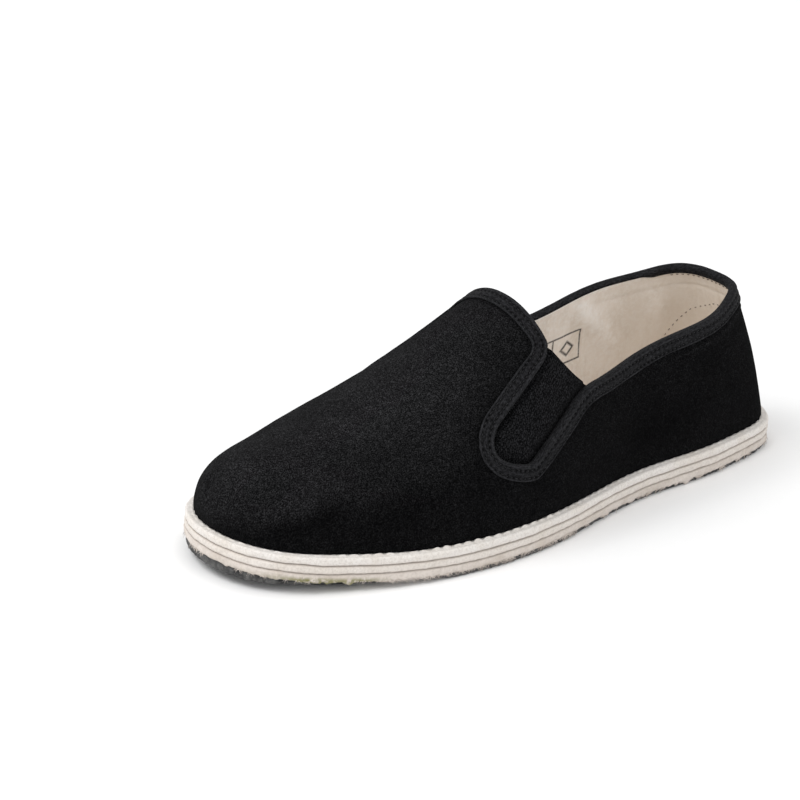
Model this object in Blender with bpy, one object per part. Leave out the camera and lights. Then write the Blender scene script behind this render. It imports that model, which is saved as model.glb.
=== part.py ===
"""A Chinese cloth slip-on shoe for the left foot, about a European size 41.

The shoe stands empty on its sole. +X runs to the toe, +Y to the outer side of the
foot and +Z up. The origin lies on the floor under the middle of the sole's box.

Every curved piece comes from one form, the last. A point of the last is named by
two angles: theta runs round the sole's outline (0 at the back of the heel, 180
degrees at the toe, negative on the inner side), and alpha climbs from the seam at
the sole (0) to the ridge along the top of the foot (90 degrees).
"""

import bpy
import bmesh
import numpy as np
from mathutils import Vector
from mathutils.geometry import delaunay_2d_cdt

# Sole, in metres
SOLE_LENGTH = 0.272
BALL_WIDTH = 0.099
HEEL_ROUND = 0.033
TOE_ROUND = 0.040
TOE_SWING = 0.002
TOE_SPRING = 0.006
COTTON_LAYER = 0.0029
COTTON_ROUND = 0.0005
RUBBER_SOLE = 0.0014
RUBBER_TOE = 0.0034
RUBBER_INSET = 0.0008
RUBBER_ROUND = 0.0005

# Upper, in metres
INSTEP_HEIGHT = 0.0735
HEEL_HEIGHT = 0.0572
SIDE_HEIGHT = 0.0423
INNER_SIDE_HEIGHT = 0.0434
HEEL_LEAN = 0.0395
TOE_SLOPE = 0.0336
WELT_LEDGE = 0.0028
UPPER_WALL = 0.0016
INSOLE_THICKNESS = 0.002

# Side notches and the tab between them, in metres and degrees
NOTCH_LENGTH = 0.0445
NOTCH_WIDTH = 0.0215
NOTCH_FLARE = 0.0008
NOTCH_LEAN = 33.5
TAB_BOW = 0.0135
LIP_ROUND = 0.010
TAB_ROUND = 0.006

# Binding tape and elastic gores, in metres
TAPE_WIDTH = 0.0052
TAPE_LAP = 0.0015
TAPE_THICKNESS = 0.0007
GORE_THICKNESS = 0.0012
GORE_LAP = 0.005
GORE_TAB_RISE = 0.0022
GORE_LIP_RISE = 0.005
GORE_SAG = 0.0022

# Clearance kept between neighbouring pieces, in metres
FIT = 0.0003

# Sole outline: share of the length from the heel, half widths as shares of BALL_WIDTH
SOLE_PLAN = (
    # station, outer, inner
    (0.08, 0.273, 0.270),
    (0.18, 0.326, 0.335),
    (0.32, 0.351, 0.330),
    (0.45, 0.427, 0.345),
    (0.58, 0.497, 0.420),
    (0.70, 0.499, 0.482),
    (0.80, 0.450, 0.475),
    (0.90, 0.350, 0.390),
)

# Ridge of the last: share of the length, height over the sole as a share of INSTEP_HEIGHT
RIDGE = (
    # station, height
    (0.00, 1.18),
    (0.20, 1.24),
    (0.35, 1.01),
    (0.48, 1.06),
    (0.60, 0.832),
    (0.70, 0.625),
    (0.80, 0.490),
    (0.90, 0.401),
    (1.00, 0.386),
)

# Fullness of the cross-sections: 1 is a straight side, 2 an ellipse, more is boxier
FULLNESS = (
    # station, exponent
    (0.00, 1.02),
    (0.12, 1.90),
    (0.30, 2.45),
    (0.50, 2.12),
    (0.70, 2.10),
    (0.90, 2.22),
    (1.00, 2.35),
)

# Collar: share of the length, share of the way from the side's height up to HEEL_HEIGHT
COLLAR = (
    # station, rise
    (0.00, 1.00),
    (0.08, 1.00),
    (0.12, 0.95),
    (0.16, 0.75),
    (0.22, 0.59),
    (0.28, 0.47),
    (0.34, 0.28),
    (0.40, 0.09),
    (0.46, 0.02),
    (0.54, 0.00),
)

# Places as shares: of SOLE_LENGTH from the heel, and of INSTEP_HEIGHT over the sole
SPRING_START = 0.66
THROAT_STATION = 0.5285
MOUTH_STATION = 0.4925
MOUTH_HEIGHT = 0.684
FOOT_SKEW = 0.5

# Fineness of the meshes: distance between points in metres, or points in a loop
CLOTH_GRID = 0.0074
GORE_GRID = 0.0062
TAPE_STEP = 0.0046
SOLE_POINTS = 72
INSOLE_POINTS = 48
FEATHER_POINTS = 92

QUARTER = np.pi / 2
SMALL_ANGLE = 1e-3


def smooth_curve(stations, values):
    """Natural cubic through a table's columns, as a function of the station."""
    s, v = np.array(stations, float), np.array(values, float)
    h = np.diff(s)
    slope = np.diff(v) / h
    system, right = np.eye(len(s)), np.zeros(len(s))
    for i in range(1, len(s) - 1):
        system[i, i - 1:i + 2] = h[i - 1], 2 * (h[i - 1] + h[i]), h[i]
        right[i] = 6 * (slope[i] - slope[i - 1])
    bend = np.linalg.solve(system, right)

    def value(at):
        at = np.asarray(at, float)
        i = np.clip(np.searchsorted(s, at) - 1, 0, len(h) - 1)
        past, left, width = at - s[i], s[i + 1] - at, h[i]
        cubic = (bend[i] * left ** 3 + bend[i + 1] * past ** 3) / (6 * width)
        start = (v[i] / width - bend[i] * width / 6) * left
        end = (v[i + 1] / width - bend[i + 1] * width / 6) * past
        return cubic + start + end

    return value


def table_curve(table):
    """Smooth curve through a table of two columns."""
    return smooth_curve([row[0] for row in table], [row[1] for row in table])


def share(x):
    """Share of the sole's length at x, from the back of the heel."""
    return x / SOLE_LENGTH + 0.5


class Last:
    """The form of the foot that the shoe is built round."""

    def __init__(self):
        stations, middles, widths = [0.0], [0.0], [np.sqrt(HEEL_ROUND * SOLE_LENGTH / 2)]
        for station, outer, inner in SOLE_PLAN:
            stations.append(station)
            middles.append(BALL_WIDTH * (outer - inner) / 2)
            roundness = 2 * np.sqrt(station * (1 - station))
            widths.append(BALL_WIDTH * (outer + inner) / 2 / roundness)
        stations.append(1.0)
        middles.append(-TOE_SWING)
        widths.append(np.sqrt(TOE_ROUND * SOLE_LENGTH / 2))
        self.shift = 0.0
        self.middle_curve = smooth_curve(stations, middles)
        self.width_curve = smooth_curve(stations, widths)
        self.ridge = table_curve(RIDGE)
        self.fullness = table_curve(FULLNESS)
        self.collar = table_curve(COLLAR)
        around = np.linspace(-np.pi, np.pi, 721)
        sides = self.outline(around)[:, 1]
        self.shift = (sides.max() + sides.min()) / 2
        half = np.linspace(0, np.pi, 2001)
        feather_x = self.outline(half, WELT_LEDGE)[:, 0]
        self.heel_x, self.toe_x = feather_x[0], feather_x[-1]
        self.turn = np.arccos(1 - 2 * (feather_x - self.heel_x) / (self.toe_x - self.heel_x))
        self.turn_theta = half
        feather_length = self.toe_x - self.heel_x
        self.squeeze = (feather_length - HEEL_LEAN - TOE_SLOPE) / feather_length
        self.ridge_start = self.heel_x * (1 - self.squeeze) + HEEL_LEAN

    def middle(self, station):
        """The centre line's offset, toward the outer side."""
        return self.middle_curve(np.clip(station, 0, 1)) - self.shift

    def half_width(self, theta):
        """The outline's half width, on either side of the centre line."""
        return self.width_curve((1 - np.cos(theta)) / 2) * np.sin(theta)

    def outline(self, theta, inset=0.0):
        """Points of the sole's outline, set in by inset."""
        x = -SOLE_LENGTH / 2 * np.cos(theta)
        along = SOLE_LENGTH / 2 * np.sin(theta)
        ahead, behind = self.half_width(theta + SMALL_ANGLE), self.half_width(theta - SMALL_ANGLE)
        across = (ahead - behind) / (2 * SMALL_ANGLE)
        size = np.hypot(along, across)
        y = self.middle(share(x)) + self.half_width(theta)
        return np.stack([x + inset * across / size, y - inset * along / size], -1)

    def toe_climb(self, x):
        """How far the toe has sprung up at x, from 0 under the ball to 1 at the tip."""
        return np.clip((share(x) - SPRING_START) / (1 - SPRING_START), 0, None) ** 2

    def sole_top(self, x):
        """Height of the sole's upper side, which springs up at the toe."""
        return SOLE_HEIGHT + TOE_SPRING * self.toe_climb(x)

    def ridge_height(self, x):
        """Height of the ridge over the sole."""
        return INSTEP_HEIGHT * self.ridge(np.clip(share(x), 0, 1))

    def collar_height(self, x, side_height):
        """Height over the floor of a collar that is side_height tall beside the foot."""
        rise = self.collar(np.clip(share(x), COLLAR[0][0], COLLAR[-1][0]))
        return SOLE_HEIGHT + side_height + (HEEL_HEIGHT - side_height) * rise

    def fold(self, theta, alpha):
        """Carry angles past the ridge over to the other side."""
        over = alpha > QUARTER
        return np.where(over, -theta, theta), np.where(over, np.pi - alpha, alpha)

    def feet(self, theta):
        """Points on the seam at the sole, and the ridge points they climb to."""
        foot = self.outline(theta, WELT_LEDGE)
        top_x = self.ridge_start + self.squeeze * foot[..., 0]
        top = np.stack([top_x, self.middle(share(top_x))], -1)
        return foot, top

    def section(self, alpha, fullness):
        """How far out and how high a point of a cross-section lies, as shares."""
        c, s = np.abs(np.cos(alpha)), np.sin(alpha)
        size = (c ** fullness + np.abs(s) ** fullness) ** (-1 / fullness)
        return size * c, size * s

    def point(self, theta, alpha):
        """Points of the last's surface."""
        theta, alpha = self.fold(np.asarray(theta, float), np.asarray(alpha, float))
        foot, top = self.feet(theta)
        out, up = self.section(alpha, self.fullness(np.clip(share(foot[..., 0]), 0, 1)))
        plan = top + (foot - top) * out[..., None]
        x = plan[..., 0]
        z = self.sole_top(x) + FIT + up * self.ridge_height(x)
        return np.concatenate([plan, z[..., None]], -1)

    def slopes(self, theta, alpha):
        """Rates of change of the surface with theta and with alpha."""
        alpha = np.minimum(alpha, QUARTER - 2 * SMALL_ANGLE)
        step = SMALL_ANGLE
        by_theta = self.point(theta + step, alpha) - self.point(theta - step, alpha)
        by_alpha = self.point(theta, alpha + step) - self.point(theta, alpha - step)
        return by_theta / (2 * step), by_alpha / (2 * step)

    def normal(self, theta, alpha):
        """Outward unit normals."""
        theta, alpha = self.fold(theta, alpha)
        by_theta, by_alpha = self.slopes(theta, alpha)
        across = np.cross(by_alpha, by_theta)
        return across / np.linalg.norm(across, axis=-1, keepdims=True)

    def lifted(self, theta, alpha, height):
        """Points at a height over the surface, or under it where height is negative."""
        return self.point(theta, alpha) + height * self.normal(theta, alpha)

    def flat(self, theta, alpha):
        """The surface laid out in a plane, for cutting and meshing."""
        theta, alpha = self.fold(np.asarray(theta, float), np.asarray(alpha, float))
        foot, top = self.feet(theta)
        ray = foot - top
        size = np.linalg.norm(ray, axis=-1)
        reach = (size + 0.7 * self.ridge_height(top[..., 0])) * (1 - alpha / QUARTER)
        return top + ray * (reach / size)[..., None]

    def glide(self, theta, alpha, goal):
        """Angles of the surface points nearest to goal, from angles close by."""
        for _ in range(8):
            theta, alpha = self.fold(theta, alpha)
            miss = goal - self.point(theta, alpha)
            by_theta, by_alpha = self.slopes(theta, alpha)
            tt = (by_theta * by_theta).sum(-1)
            aa = (by_alpha * by_alpha).sum(-1)
            ta = (by_theta * by_alpha).sum(-1)
            mt, ma = (miss * by_theta).sum(-1), (miss * by_alpha).sum(-1)
            spread = tt * aa - ta * ta
            theta = theta + (mt * aa - ma * ta) / spread
            alpha = alpha + (ma * tt - mt * ta) / spread
        return self.fold(theta, alpha)

    def theta_for(self, foot_x):
        """Theta on the outer side whose seam point lies at foot_x."""
        along = np.clip((foot_x - self.heel_x) / (self.toe_x - self.heel_x), 0, 1)
        return np.interp(np.arccos(1 - 2 * along), self.turn, self.turn_theta)

    def foot_under(self, x, section_out):
        """Seam station under a surface point that lies at x and section_out out."""
        far_in = 1 - section_out
        return (x - self.ridge_start * far_in) / (self.squeeze * far_in + section_out)

    def from_side(self, x, z):
        """Angles of the outer side's point seen at (x, z) from the side."""
        up = (z - self.sole_top(x) - FIT) / self.ridge_height(x)
        foot_x = x
        for _ in range(20):
            power = self.fullness(np.clip(share(foot_x), 0, 1))
            out = (1 - up ** power) ** (1 / power)
            foot_x = self.foot_under(x, out)
        return self.theta_for(foot_x), np.arctan2(up, out)

    def from_girth(self, x, alpha):
        """Angles of the outer side's point at x that has climbed to alpha."""
        foot_x = x
        for _ in range(20):
            out, _up = self.section(alpha, self.fullness(np.clip(share(foot_x), 0, 1)))
            foot_x = self.foot_under(x, out)
        return self.theta_for(foot_x), alpha + 0 * foot_x


SOLE_HEIGHT = RUBBER_SOLE + 3 * (COTTON_LAYER + FIT)


def arc_lengths(points):
    """Running length along a polyline, from 0."""
    steps = np.linalg.norm(np.diff(points, axis=0), axis=1)
    return np.concatenate([[0.0], np.cumsum(steps)])


def resample(angles, points, count):
    """count pairs of angles, evenly spaced along the points' polyline."""
    lengths = arc_lengths(points)
    marks = np.linspace(0, lengths[-1], count)
    return np.stack([np.interp(marks, lengths, column) for column in angles.T], -1)


def trim(last, angles, start, end):
    """Cut start off a path's beginning and end off its far end."""
    lengths = arc_lengths(last.point(angles[:, 0], angles[:, 1]))
    marks = np.linspace(start, lengths[-1] - end, len(angles))
    return np.stack([np.interp(marks, lengths, column) for column in angles.T], -1)


def round_corner(before, corner, after):
    """Points of a soft turn from the end of one path to the start of the next."""
    u = np.linspace(0, 1, 14)[1:-1, None]
    return (1 - u) ** 2 * before[-1] + 2 * u * (1 - u) * corner + u ** 2 * after[0]


class Opening:
    """The shoe's opening: collar, two side notches and the tab between them."""

    def __init__(self, last):
        self.last = last
        lean = np.radians(NOTCH_LEAN)
        self.down = np.array([np.cos(lean), -np.sin(lean)])
        self.across = np.array([np.sin(lean), np.cos(lean)])
        mouth_x = SOLE_LENGTH * (MOUTH_STATION - 0.5)
        self.mouth = np.array([mouth_x, SOLE_HEIGHT + INSTEP_HEIGHT * MOUTH_HEIGHT])
        self.corners = {}
        outer = self.spaced(self.half_path(1, SIDE_HEIGHT))
        inner = self.spaced(self.half_path(-1, INNER_SIDE_HEIGHT))
        self.angles = np.concatenate([outer, inner[-2:0:-1] * (-1, 1)])
        self.points = last.point(self.angles[:, 0], self.angles[:, 1])
        self.inward = self.inward_directions()

    def notch_point(self, along, side):
        """Side view point on a straight edge of the notch: side is 1 ahead, -1 behind."""
        flare = NOTCH_FLARE * (1 - along / (NOTCH_LENGTH - NOTCH_WIDTH / 2))
        half = NOTCH_WIDTH / 2 + (flare if side > 0 else 0 * flare)
        return self.mouth + np.outer(along, self.down) + np.outer(side * half, self.across)

    def notch_foot(self):
        """Round foot of the notch in the side view, fuller toward the toe."""
        turn = np.linspace(-QUARTER, QUARTER, 40)
        half = NOTCH_WIDTH / 2
        deep = half * np.cos(turn) * (1 + FOOT_SKEW * np.sin(turn))
        along = NOTCH_LENGTH - half + deep
        return self.mouth + np.outer(along, self.down) + np.outer(half * np.sin(turn), self.across)

    def collar_path(self, theta_end, side_height):
        """The collar from the back of the heel to theta_end on the outer side."""
        theta = np.linspace(0, theta_end, 120)
        low, high = np.zeros_like(theta), np.full_like(theta, QUARTER)
        for _ in range(40):
            alpha = (low + high) / 2
            point = self.last.point(theta, alpha)
            above = point[:, 2] > self.last.collar_height(point[:, 0], side_height)
            low, high = np.where(above, low, alpha), np.where(above, alpha, high)
        return np.stack([theta, (low + high) / 2], -1)

    def half_path(self, side, side_height):
        """Angles from the back of the heel to the ridge, as if on the outer side."""
        last = self.last
        straight = np.linspace(-NOTCH_LENGTH / 2, NOTCH_LENGTH - NOTCH_WIDTH / 2, 300)
        behind = self.notch_point(straight, -1)
        below = behind[:, 1] < last.collar_height(behind[:, 0], side_height)
        behind = behind[np.argmax(below):]
        side_view = np.concatenate([behind, self.notch_foot()[1:-1]])
        ahead = self.notch_point(straight[::-1], 1)
        tab_alpha = np.linspace(0.5, 1, 200) * QUARTER
        tab_x = SOLE_LENGTH * (THROAT_STATION - 0.5) - TAB_BOW * (1 - np.sin(tab_alpha))
        tab = np.stack(last.from_girth(tab_x, tab_alpha), -1)
        tab_points = last.point(tab[:, 0], tab[:, 1])
        ahead = ahead[ahead[:, 0] > np.interp(ahead[:, 1], tab_points[:, 2], tab_points[:, 0])]
        tab = tab[tab_points[:, 2] > ahead[-1, 1]]
        self.corners[side] = behind[0], ahead[-1]
        notch = np.stack(last.from_side(*np.concatenate([side_view, ahead]).T), -1)
        collar = self.collar_path(notch[0, 0], side_height)
        lip, corner = notch[0], notch[-1]
        collar = trim(last, collar, 0, LIP_ROUND)
        notch = trim(last, notch, LIP_ROUND, TAB_ROUND)
        tab = trim(last, tab, TAB_ROUND, 0)
        paths = (collar, round_corner(collar, lip, notch), notch,
                 round_corner(notch, corner, tab), tab)
        return np.concatenate(paths)

    def spaced(self, path):
        """A path's angles, evenly spaced about one tape step apart."""
        points = self.last.point(path[:, 0], path[:, 1])
        return resample(path, points, int(round(arc_lengths(points)[-1] / TAPE_STEP)) + 1)

    def inward_directions(self):
        """Unit directions from the edge into the cloth, eased at the corners."""
        normal = self.last.normal(self.angles[:, 0], self.angles[:, 1])
        tangent = np.roll(self.points, -1, 0) - np.roll(self.points, 1, 0)
        inward = np.cross(normal, tangent)
        inward /= np.linalg.norm(inward, axis=1, keepdims=True)
        for _ in range(6):
            inward = np.roll(inward, 1, 0) + 2 * inward + np.roll(inward, -1, 0)
            inward /= np.linalg.norm(inward, axis=1, keepdims=True)
        return inward

    def row(self, distance):
        """Angles of the points at a distance from the edge: into the cloth if positive."""
        goal = self.points + distance * self.inward
        return np.stack(self.last.glide(self.angles[:, 0], self.angles[:, 1], goal), -1)

    def nearest(self, corner, side):
        """Index of one side's loop point nearest to a corner of the side view."""
        other_side = np.where(self.angles[:, 0] * side > 0, 0.0, SOLE_LENGTH)
        gap = np.linalg.norm(self.points[:, (0, 2)] - corner, axis=1)
        return int(np.argmin(gap + other_side))


def inside(points, polygon):
    """Whether each point of a plane lies inside a polygon."""
    x, y = points[:, 0:1], points[:, 1:2]
    x0, y0 = polygon[:, 0], polygon[:, 1]
    x1, y1 = np.roll(x0, -1), np.roll(y0, -1)
    spans = (y0 > y) != (y1 > y)
    rise = np.where(y1 == y0, 1.0, y1 - y0)
    crossing = x0 + (y - y0) * (x1 - x0) / rise
    return (spans & (x < crossing)).sum(1) % 2 == 1


def thin_out(last, fixed, candidates, spacing):
    """Candidates that keep their distance from the fixed points and each other."""
    kept = list(last.point(fixed[:, 0], fixed[:, 1]))
    chosen = []
    for angles, place in zip(candidates, last.point(candidates[:, 0], candidates[:, 1])):
        if np.linalg.norm(np.array(kept) - place, axis=1).min() > spacing:
            kept.append(place)
            chosen.append(angles)
    return np.array(chosen)


def surface_grid(spacing):
    """Angles of a grid over the whole last, about one spacing apart."""
    rings = int(round(2 * SOLE_LENGTH * 1.2 / spacing))
    climbs = int(round(1.35 * INSTEP_HEIGHT / spacing))
    theta = np.linspace(-np.pi, np.pi, rings, endpoint=False) + np.pi / rings
    alpha = np.linspace(0, QUARTER, climbs + 1)[1:]
    grid = np.stack(np.meshgrid(theta, alpha), -1)
    return grid.reshape(-1, 2)


def mesh_patch(last, angles, loops, keep):
    """Triangles of a patch of the last, from its points, its edge loops and a test."""
    flat = last.flat(angles[:, 0], angles[:, 1])
    edges = [(a, b) for loop in loops for a, b in zip(loop, loop[1:] + loop[:1])]
    found = delaunay_2d_cdt([Vector(p) for p in flat], edges, [], 0, 1e-7)
    origin = [source[0] for source in found[3]]
    triangles = [[origin[corner] for corner in face] for face in found[2]]
    middles = flat[np.array(triangles)].mean(1)
    return [tri for tri, kept in zip(triangles, keep(middles)) if kept]


def thick_patch(last, angles, loops, triangles, top, bottom):
    """Corners and faces of a patch made solid between two heights over the last."""
    outer = last.lifted(angles[:, 0], angles[:, 1], top)
    inner = last.lifted(angles[:, 0], angles[:, 1], bottom)
    count = len(angles)
    faces = [tuple(tri) for tri in triangles]
    faces += [tuple(corner + count for corner in reversed(tri)) for tri in triangles]
    for loop in loops:
        for a, b in zip(loop, loop[1:] + loop[:1]):
            faces.append((a, b, b + count, a + count))
    return np.concatenate([outer, inner]), faces


def finish(name, corners, faces, material):
    """Make one object of corners and faces, all facing out."""
    mesh = bpy.data.meshes.new(name)
    mesh.from_pydata([tuple(corner) for corner in corners], [], faces)
    shape = bmesh.new()
    shape.from_mesh(mesh)
    loose = [vert for vert in shape.verts if not vert.link_faces]
    bmesh.ops.delete(shape, geom=loose, context="VERTS")
    bmesh.ops.triangulate(shape, faces=shape.faces)
    bmesh.ops.recalc_face_normals(shape, faces=shape.faces)
    shape.to_mesh(mesh)
    shape.free()
    mesh.shade_smooth()
    mesh.set_sharp_from_angle(angle=np.radians(40))
    mesh.materials.append(material)
    piece = bpy.data.objects.new(name, mesh)
    bpy.context.scene.collection.objects.link(piece)
    return piece


def paint(name, colour, roughness):
    """A plain Principled material."""
    material = bpy.data.materials.new(name)
    material.use_nodes = True
    shader = material.node_tree.nodes["Principled BSDF"]
    shader.inputs["Base Color"].default_value = (*colour, 1.0)
    shader.inputs["Roughness"].default_value = roughness
    shader.inputs["Metallic"].default_value = 0.0
    return material


def build_upper(last, opening, material):
    """The canvas upper with its lining: one hollow wall, open above and below."""
    theta = np.linspace(-np.pi, np.pi, FEATHER_POINTS, endpoint=False)
    feather = np.stack([theta, np.zeros_like(theta)], -1)
    edge = opening.angles
    rows = [opening.row(distance) for distance in (TAPE_WIDTH / 2, TAPE_WIDTH + FIT)]
    fixed = np.concatenate([feather, edge, *rows])
    hole = last.flat(edge[:, 0], edge[:, 1])
    grid = surface_grid(CLOTH_GRID)
    grid = grid[~inside(last.flat(grid[:, 0], grid[:, 1]), hole)]
    angles = np.concatenate([fixed, thin_out(last, fixed, grid, 0.7 * CLOTH_GRID)])
    first, second = len(feather), len(feather) + len(edge)
    loops = [list(range(first)), list(range(first, second))]
    rim = last.flat(feather[:, 0], feather[:, 1])
    triangles = mesh_patch(last, angles, loops,
                           lambda middle: inside(middle, rim) & ~inside(middle, hole))
    corners, faces = thick_patch(last, angles, loops, triangles, 0.0, -UPPER_WALL)
    return finish("upper", corners, faces, material)


def build_binding(last, opening, material):
    """The tape folded over the opening's edge, one closed ring."""
    under, over = FIT, FIT + TAPE_THICKNESS
    inner, innermost = -UPPER_WALL - FIT, -UPPER_WALL - FIT - TAPE_THICKNESS
    soft = TAPE_THICKNESS / 3
    profile = (
        # distance into the cloth, height over the last
        (TAPE_WIDTH, under),
        (TAPE_WIDTH, over - soft),
        (TAPE_WIDTH - 2 * soft, over),
        (TAPE_WIDTH / 2, over),
        (0.0, over),
        (-over, under),
        (-over, inner),
        (0.0, innermost),
        (TAPE_LAP, innermost),
        (TAPE_LAP, inner),
        (-FIT, inner),
        (-FIT, under),
        (TAPE_WIDTH / 2, under),
    )
    rings = []
    for distance, height in profile:
        row = opening.row(distance)
        rings.append(last.lifted(row[:, 0], row[:, 1], height))
    count, sides = len(opening.angles), len(profile)
    corners = np.stack(rings, 1).reshape(-1, 3)
    faces = []
    for i in range(count):
        for j in range(sides):
            ahead, beside = (i + 1) % count, (j + 1) % sides
            faces.append((i * sides + j, i * sides + beside,
                          ahead * sides + beside, ahead * sides + j))
    return finish("collar_binding", corners, faces, material)


def gore_border(last, opening, side):
    """Angles round one gore: under the cloth's edge, then back along the free edge."""
    lip, tab = opening.corners[side]
    lap = opening.row(GORE_LAP)
    first, final = sorted((opening.nearest(lip, side), opening.nearest(tab, side)))
    under_cloth = lap[first:final + 1] * (side, 1)
    chord = (tab - lip) / np.linalg.norm(tab - lip)
    lip_end = lip - GORE_LAP * chord - GORE_LIP_RISE * opening.down
    tab_end = tab + GORE_LAP * chord - GORE_TAB_RISE * opening.down
    start, end = (tab_end, lip_end) if side > 0 else (lip_end, tab_end)
    u = np.linspace(0, 1, 9)[:, None]
    free_edge = start + (end - start) * u
    free_edge[:, 1] -= GORE_SAG * 4 * (u * (1 - u))[:, 0]
    free_edge = np.stack(last.from_side(free_edge[:, 0], free_edge[:, 1]), -1)
    return np.concatenate([under_cloth, free_edge])


def build_gore(last, opening, name, side, material):
    """The elastic panel behind one notch: side is 1 for the outer side, -1 for the inner."""
    border = gore_border(last, opening, side)
    grid = surface_grid(GORE_GRID)
    grid = grid[inside(last.flat(grid[:, 0], grid[:, 1]), last.flat(border[:, 0], border[:, 1]))]
    grid = thin_out(last, border, grid, 0.6 * GORE_GRID)
    angles = np.concatenate([border, grid]) * (side, 1)
    loop = [list(range(len(border)))]
    flat_border = last.flat(angles[:len(border), 0], angles[:len(border), 1])
    triangles = mesh_patch(last, angles, loop, lambda middle: inside(middle, flat_border))
    top = -UPPER_WALL - TAPE_THICKNESS - 2 * FIT
    corners, faces = thick_patch(last, angles, loop, triangles, top, top - GORE_THICKNESS)
    return finish(name, corners, faces, material)


def build_layer(last, name, top, thickness, inset, rounding, count, material, toe_extra=0.0):
    """A layer in the sole's outline, its upper side at a height over the sole's top."""
    theta = np.linspace(0, 2 * np.pi, count, endpoint=False)
    rings = []
    for set_in, from_top, from_bottom in ((rounding, 0, None), (0, rounding, None),
                                          (0, None, rounding), (rounding, None, 0)):
        plan = last.outline(theta, inset + set_in)
        z = last.sole_top(plan[:, 0]) + top
        if from_bottom is None:
            z -= from_top
        else:
            z -= thickness + toe_extra * last.toe_climb(plan[:, 0]) - from_bottom
        rings.append(np.column_stack([plan, z]))
    faces = []
    for ring in range(len(rings) - 1):
        for i in range(count):
            a, b = ring * count + i, ring * count + (i + 1) % count
            faces.append((a, b, b + count, a + count))
    for base in (0, (len(rings) - 1) * count):
        for i in range(count // 2):
            strip = (i, -i % count, -(i + 1) % count, i + 1)
            corners = list(dict.fromkeys(base + corner for corner in strip))
            faces.append(tuple(corners if base == 0 else corners[::-1]))
    return finish(name, np.concatenate(rings), faces, material)


def main():
    """Build every piece of the shoe."""
    for thing in list(bpy.data.objects):
        bpy.data.objects.remove(thing)
    canvas = paint("black_canvas", (0.012, 0.012, 0.014), 0.92)
    tape = paint("binding_tape", (0.020, 0.021, 0.025), 0.80)
    elastic = paint("black_elastic", (0.009, 0.009, 0.010), 0.88)
    lining = paint("cream_insole_cloth", (0.62, 0.56, 0.48), 0.90)
    cotton = paint("white_cotton_sole", (0.80, 0.77, 0.72), 0.88)
    rubber = paint("dark_rubber", (0.035, 0.035, 0.037), 0.75)
    last = Last()
    opening = Opening(last)
    build_upper(last, opening, canvas)
    build_binding(last, opening, tape)
    build_gore(last, opening, "gore_outer", 1, elastic)
    build_gore(last, opening, "gore_inner", -1, elastic)
    heel_lean_over_insole = HEEL_LEAN * (INSOLE_THICKNESS + FIT) / HEEL_HEIGHT
    insole_inset = WELT_LEDGE + UPPER_WALL + FIT + heel_lean_over_insole
    build_layer(last, "insole", FIT + INSOLE_THICKNESS, INSOLE_THICKNESS, insole_inset,
                COTTON_ROUND, INSOLE_POINTS, lining)
    for index, name in enumerate(("sole_layer_top", "sole_layer_middle", "sole_layer_lower")):
        build_layer(last, name, -index * (COTTON_LAYER + FIT), COTTON_LAYER, 0.0,
                    COTTON_ROUND, SOLE_POINTS, cotton)
    build_layer(last, "outsole", -3 * (COTTON_LAYER + FIT), RUBBER_SOLE, RUBBER_INSET,
                RUBBER_ROUND, SOLE_POINTS, rubber, RUBBER_TOE - RUBBER_SOLE)


main()
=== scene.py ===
"""Looks of a black cloth slip-on shoe for the left foot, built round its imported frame.

Sizes are in metres and in the frame's own axes: +X runs to the toe, +Y to the outer
side of the foot and +Z up from the floor. Every curved piece comes from one form, the
last. A point of the last is named by two angles: theta runs round the sole's outline
(0 at the back of the heel, 180 degrees at the toe, negative on the inner side), and
alpha climbs from the seam at the sole (0) to the ridge along the top of the foot (90
degrees).
"""

import logging
import math
from collections.abc import Callable, Mapping, Sequence
from dataclasses import dataclass, field
from enum import Enum

import bmesh
import bpy
import numpy as np
from mathutils import Matrix, Vector, noise
from mathutils.geometry import delaunay_2d_cdt
from mathutils.kdtree import KDTree


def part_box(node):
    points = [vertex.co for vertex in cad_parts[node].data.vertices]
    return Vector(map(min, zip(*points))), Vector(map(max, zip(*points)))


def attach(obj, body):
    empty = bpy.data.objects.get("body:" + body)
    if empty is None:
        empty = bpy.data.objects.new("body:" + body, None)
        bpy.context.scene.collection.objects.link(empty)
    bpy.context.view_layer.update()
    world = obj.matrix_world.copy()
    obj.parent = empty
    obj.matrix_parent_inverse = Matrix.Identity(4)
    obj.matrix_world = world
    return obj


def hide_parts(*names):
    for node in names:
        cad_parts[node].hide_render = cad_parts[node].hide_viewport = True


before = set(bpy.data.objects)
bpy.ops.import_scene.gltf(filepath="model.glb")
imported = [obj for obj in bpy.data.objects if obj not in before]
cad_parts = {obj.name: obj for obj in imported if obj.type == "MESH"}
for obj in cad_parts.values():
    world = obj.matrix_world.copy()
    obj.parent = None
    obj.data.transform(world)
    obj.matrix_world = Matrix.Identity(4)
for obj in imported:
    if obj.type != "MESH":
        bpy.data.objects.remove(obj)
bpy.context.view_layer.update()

Array = np.ndarray
Colour = tuple[float, float, float]
log = logging.getLogger("shoe")

QUARTER = math.pi / 2
SMALL_ANGLE = 1e-3
FIT = 0.0003


class Slot(Enum):
    """The pieces' material slots."""

    CANVAS = "canvas"
    BINDING = "binding"
    ELASTIC = "elastic"
    LINING = "lining"
    COTTON = "cotton_sole"
    RUBBER = "rubber"


class Side(Enum):
    """A side of the foot, by the sign of its theta."""

    OUTER = 1
    INNER = -1


# Shader expressions


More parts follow.
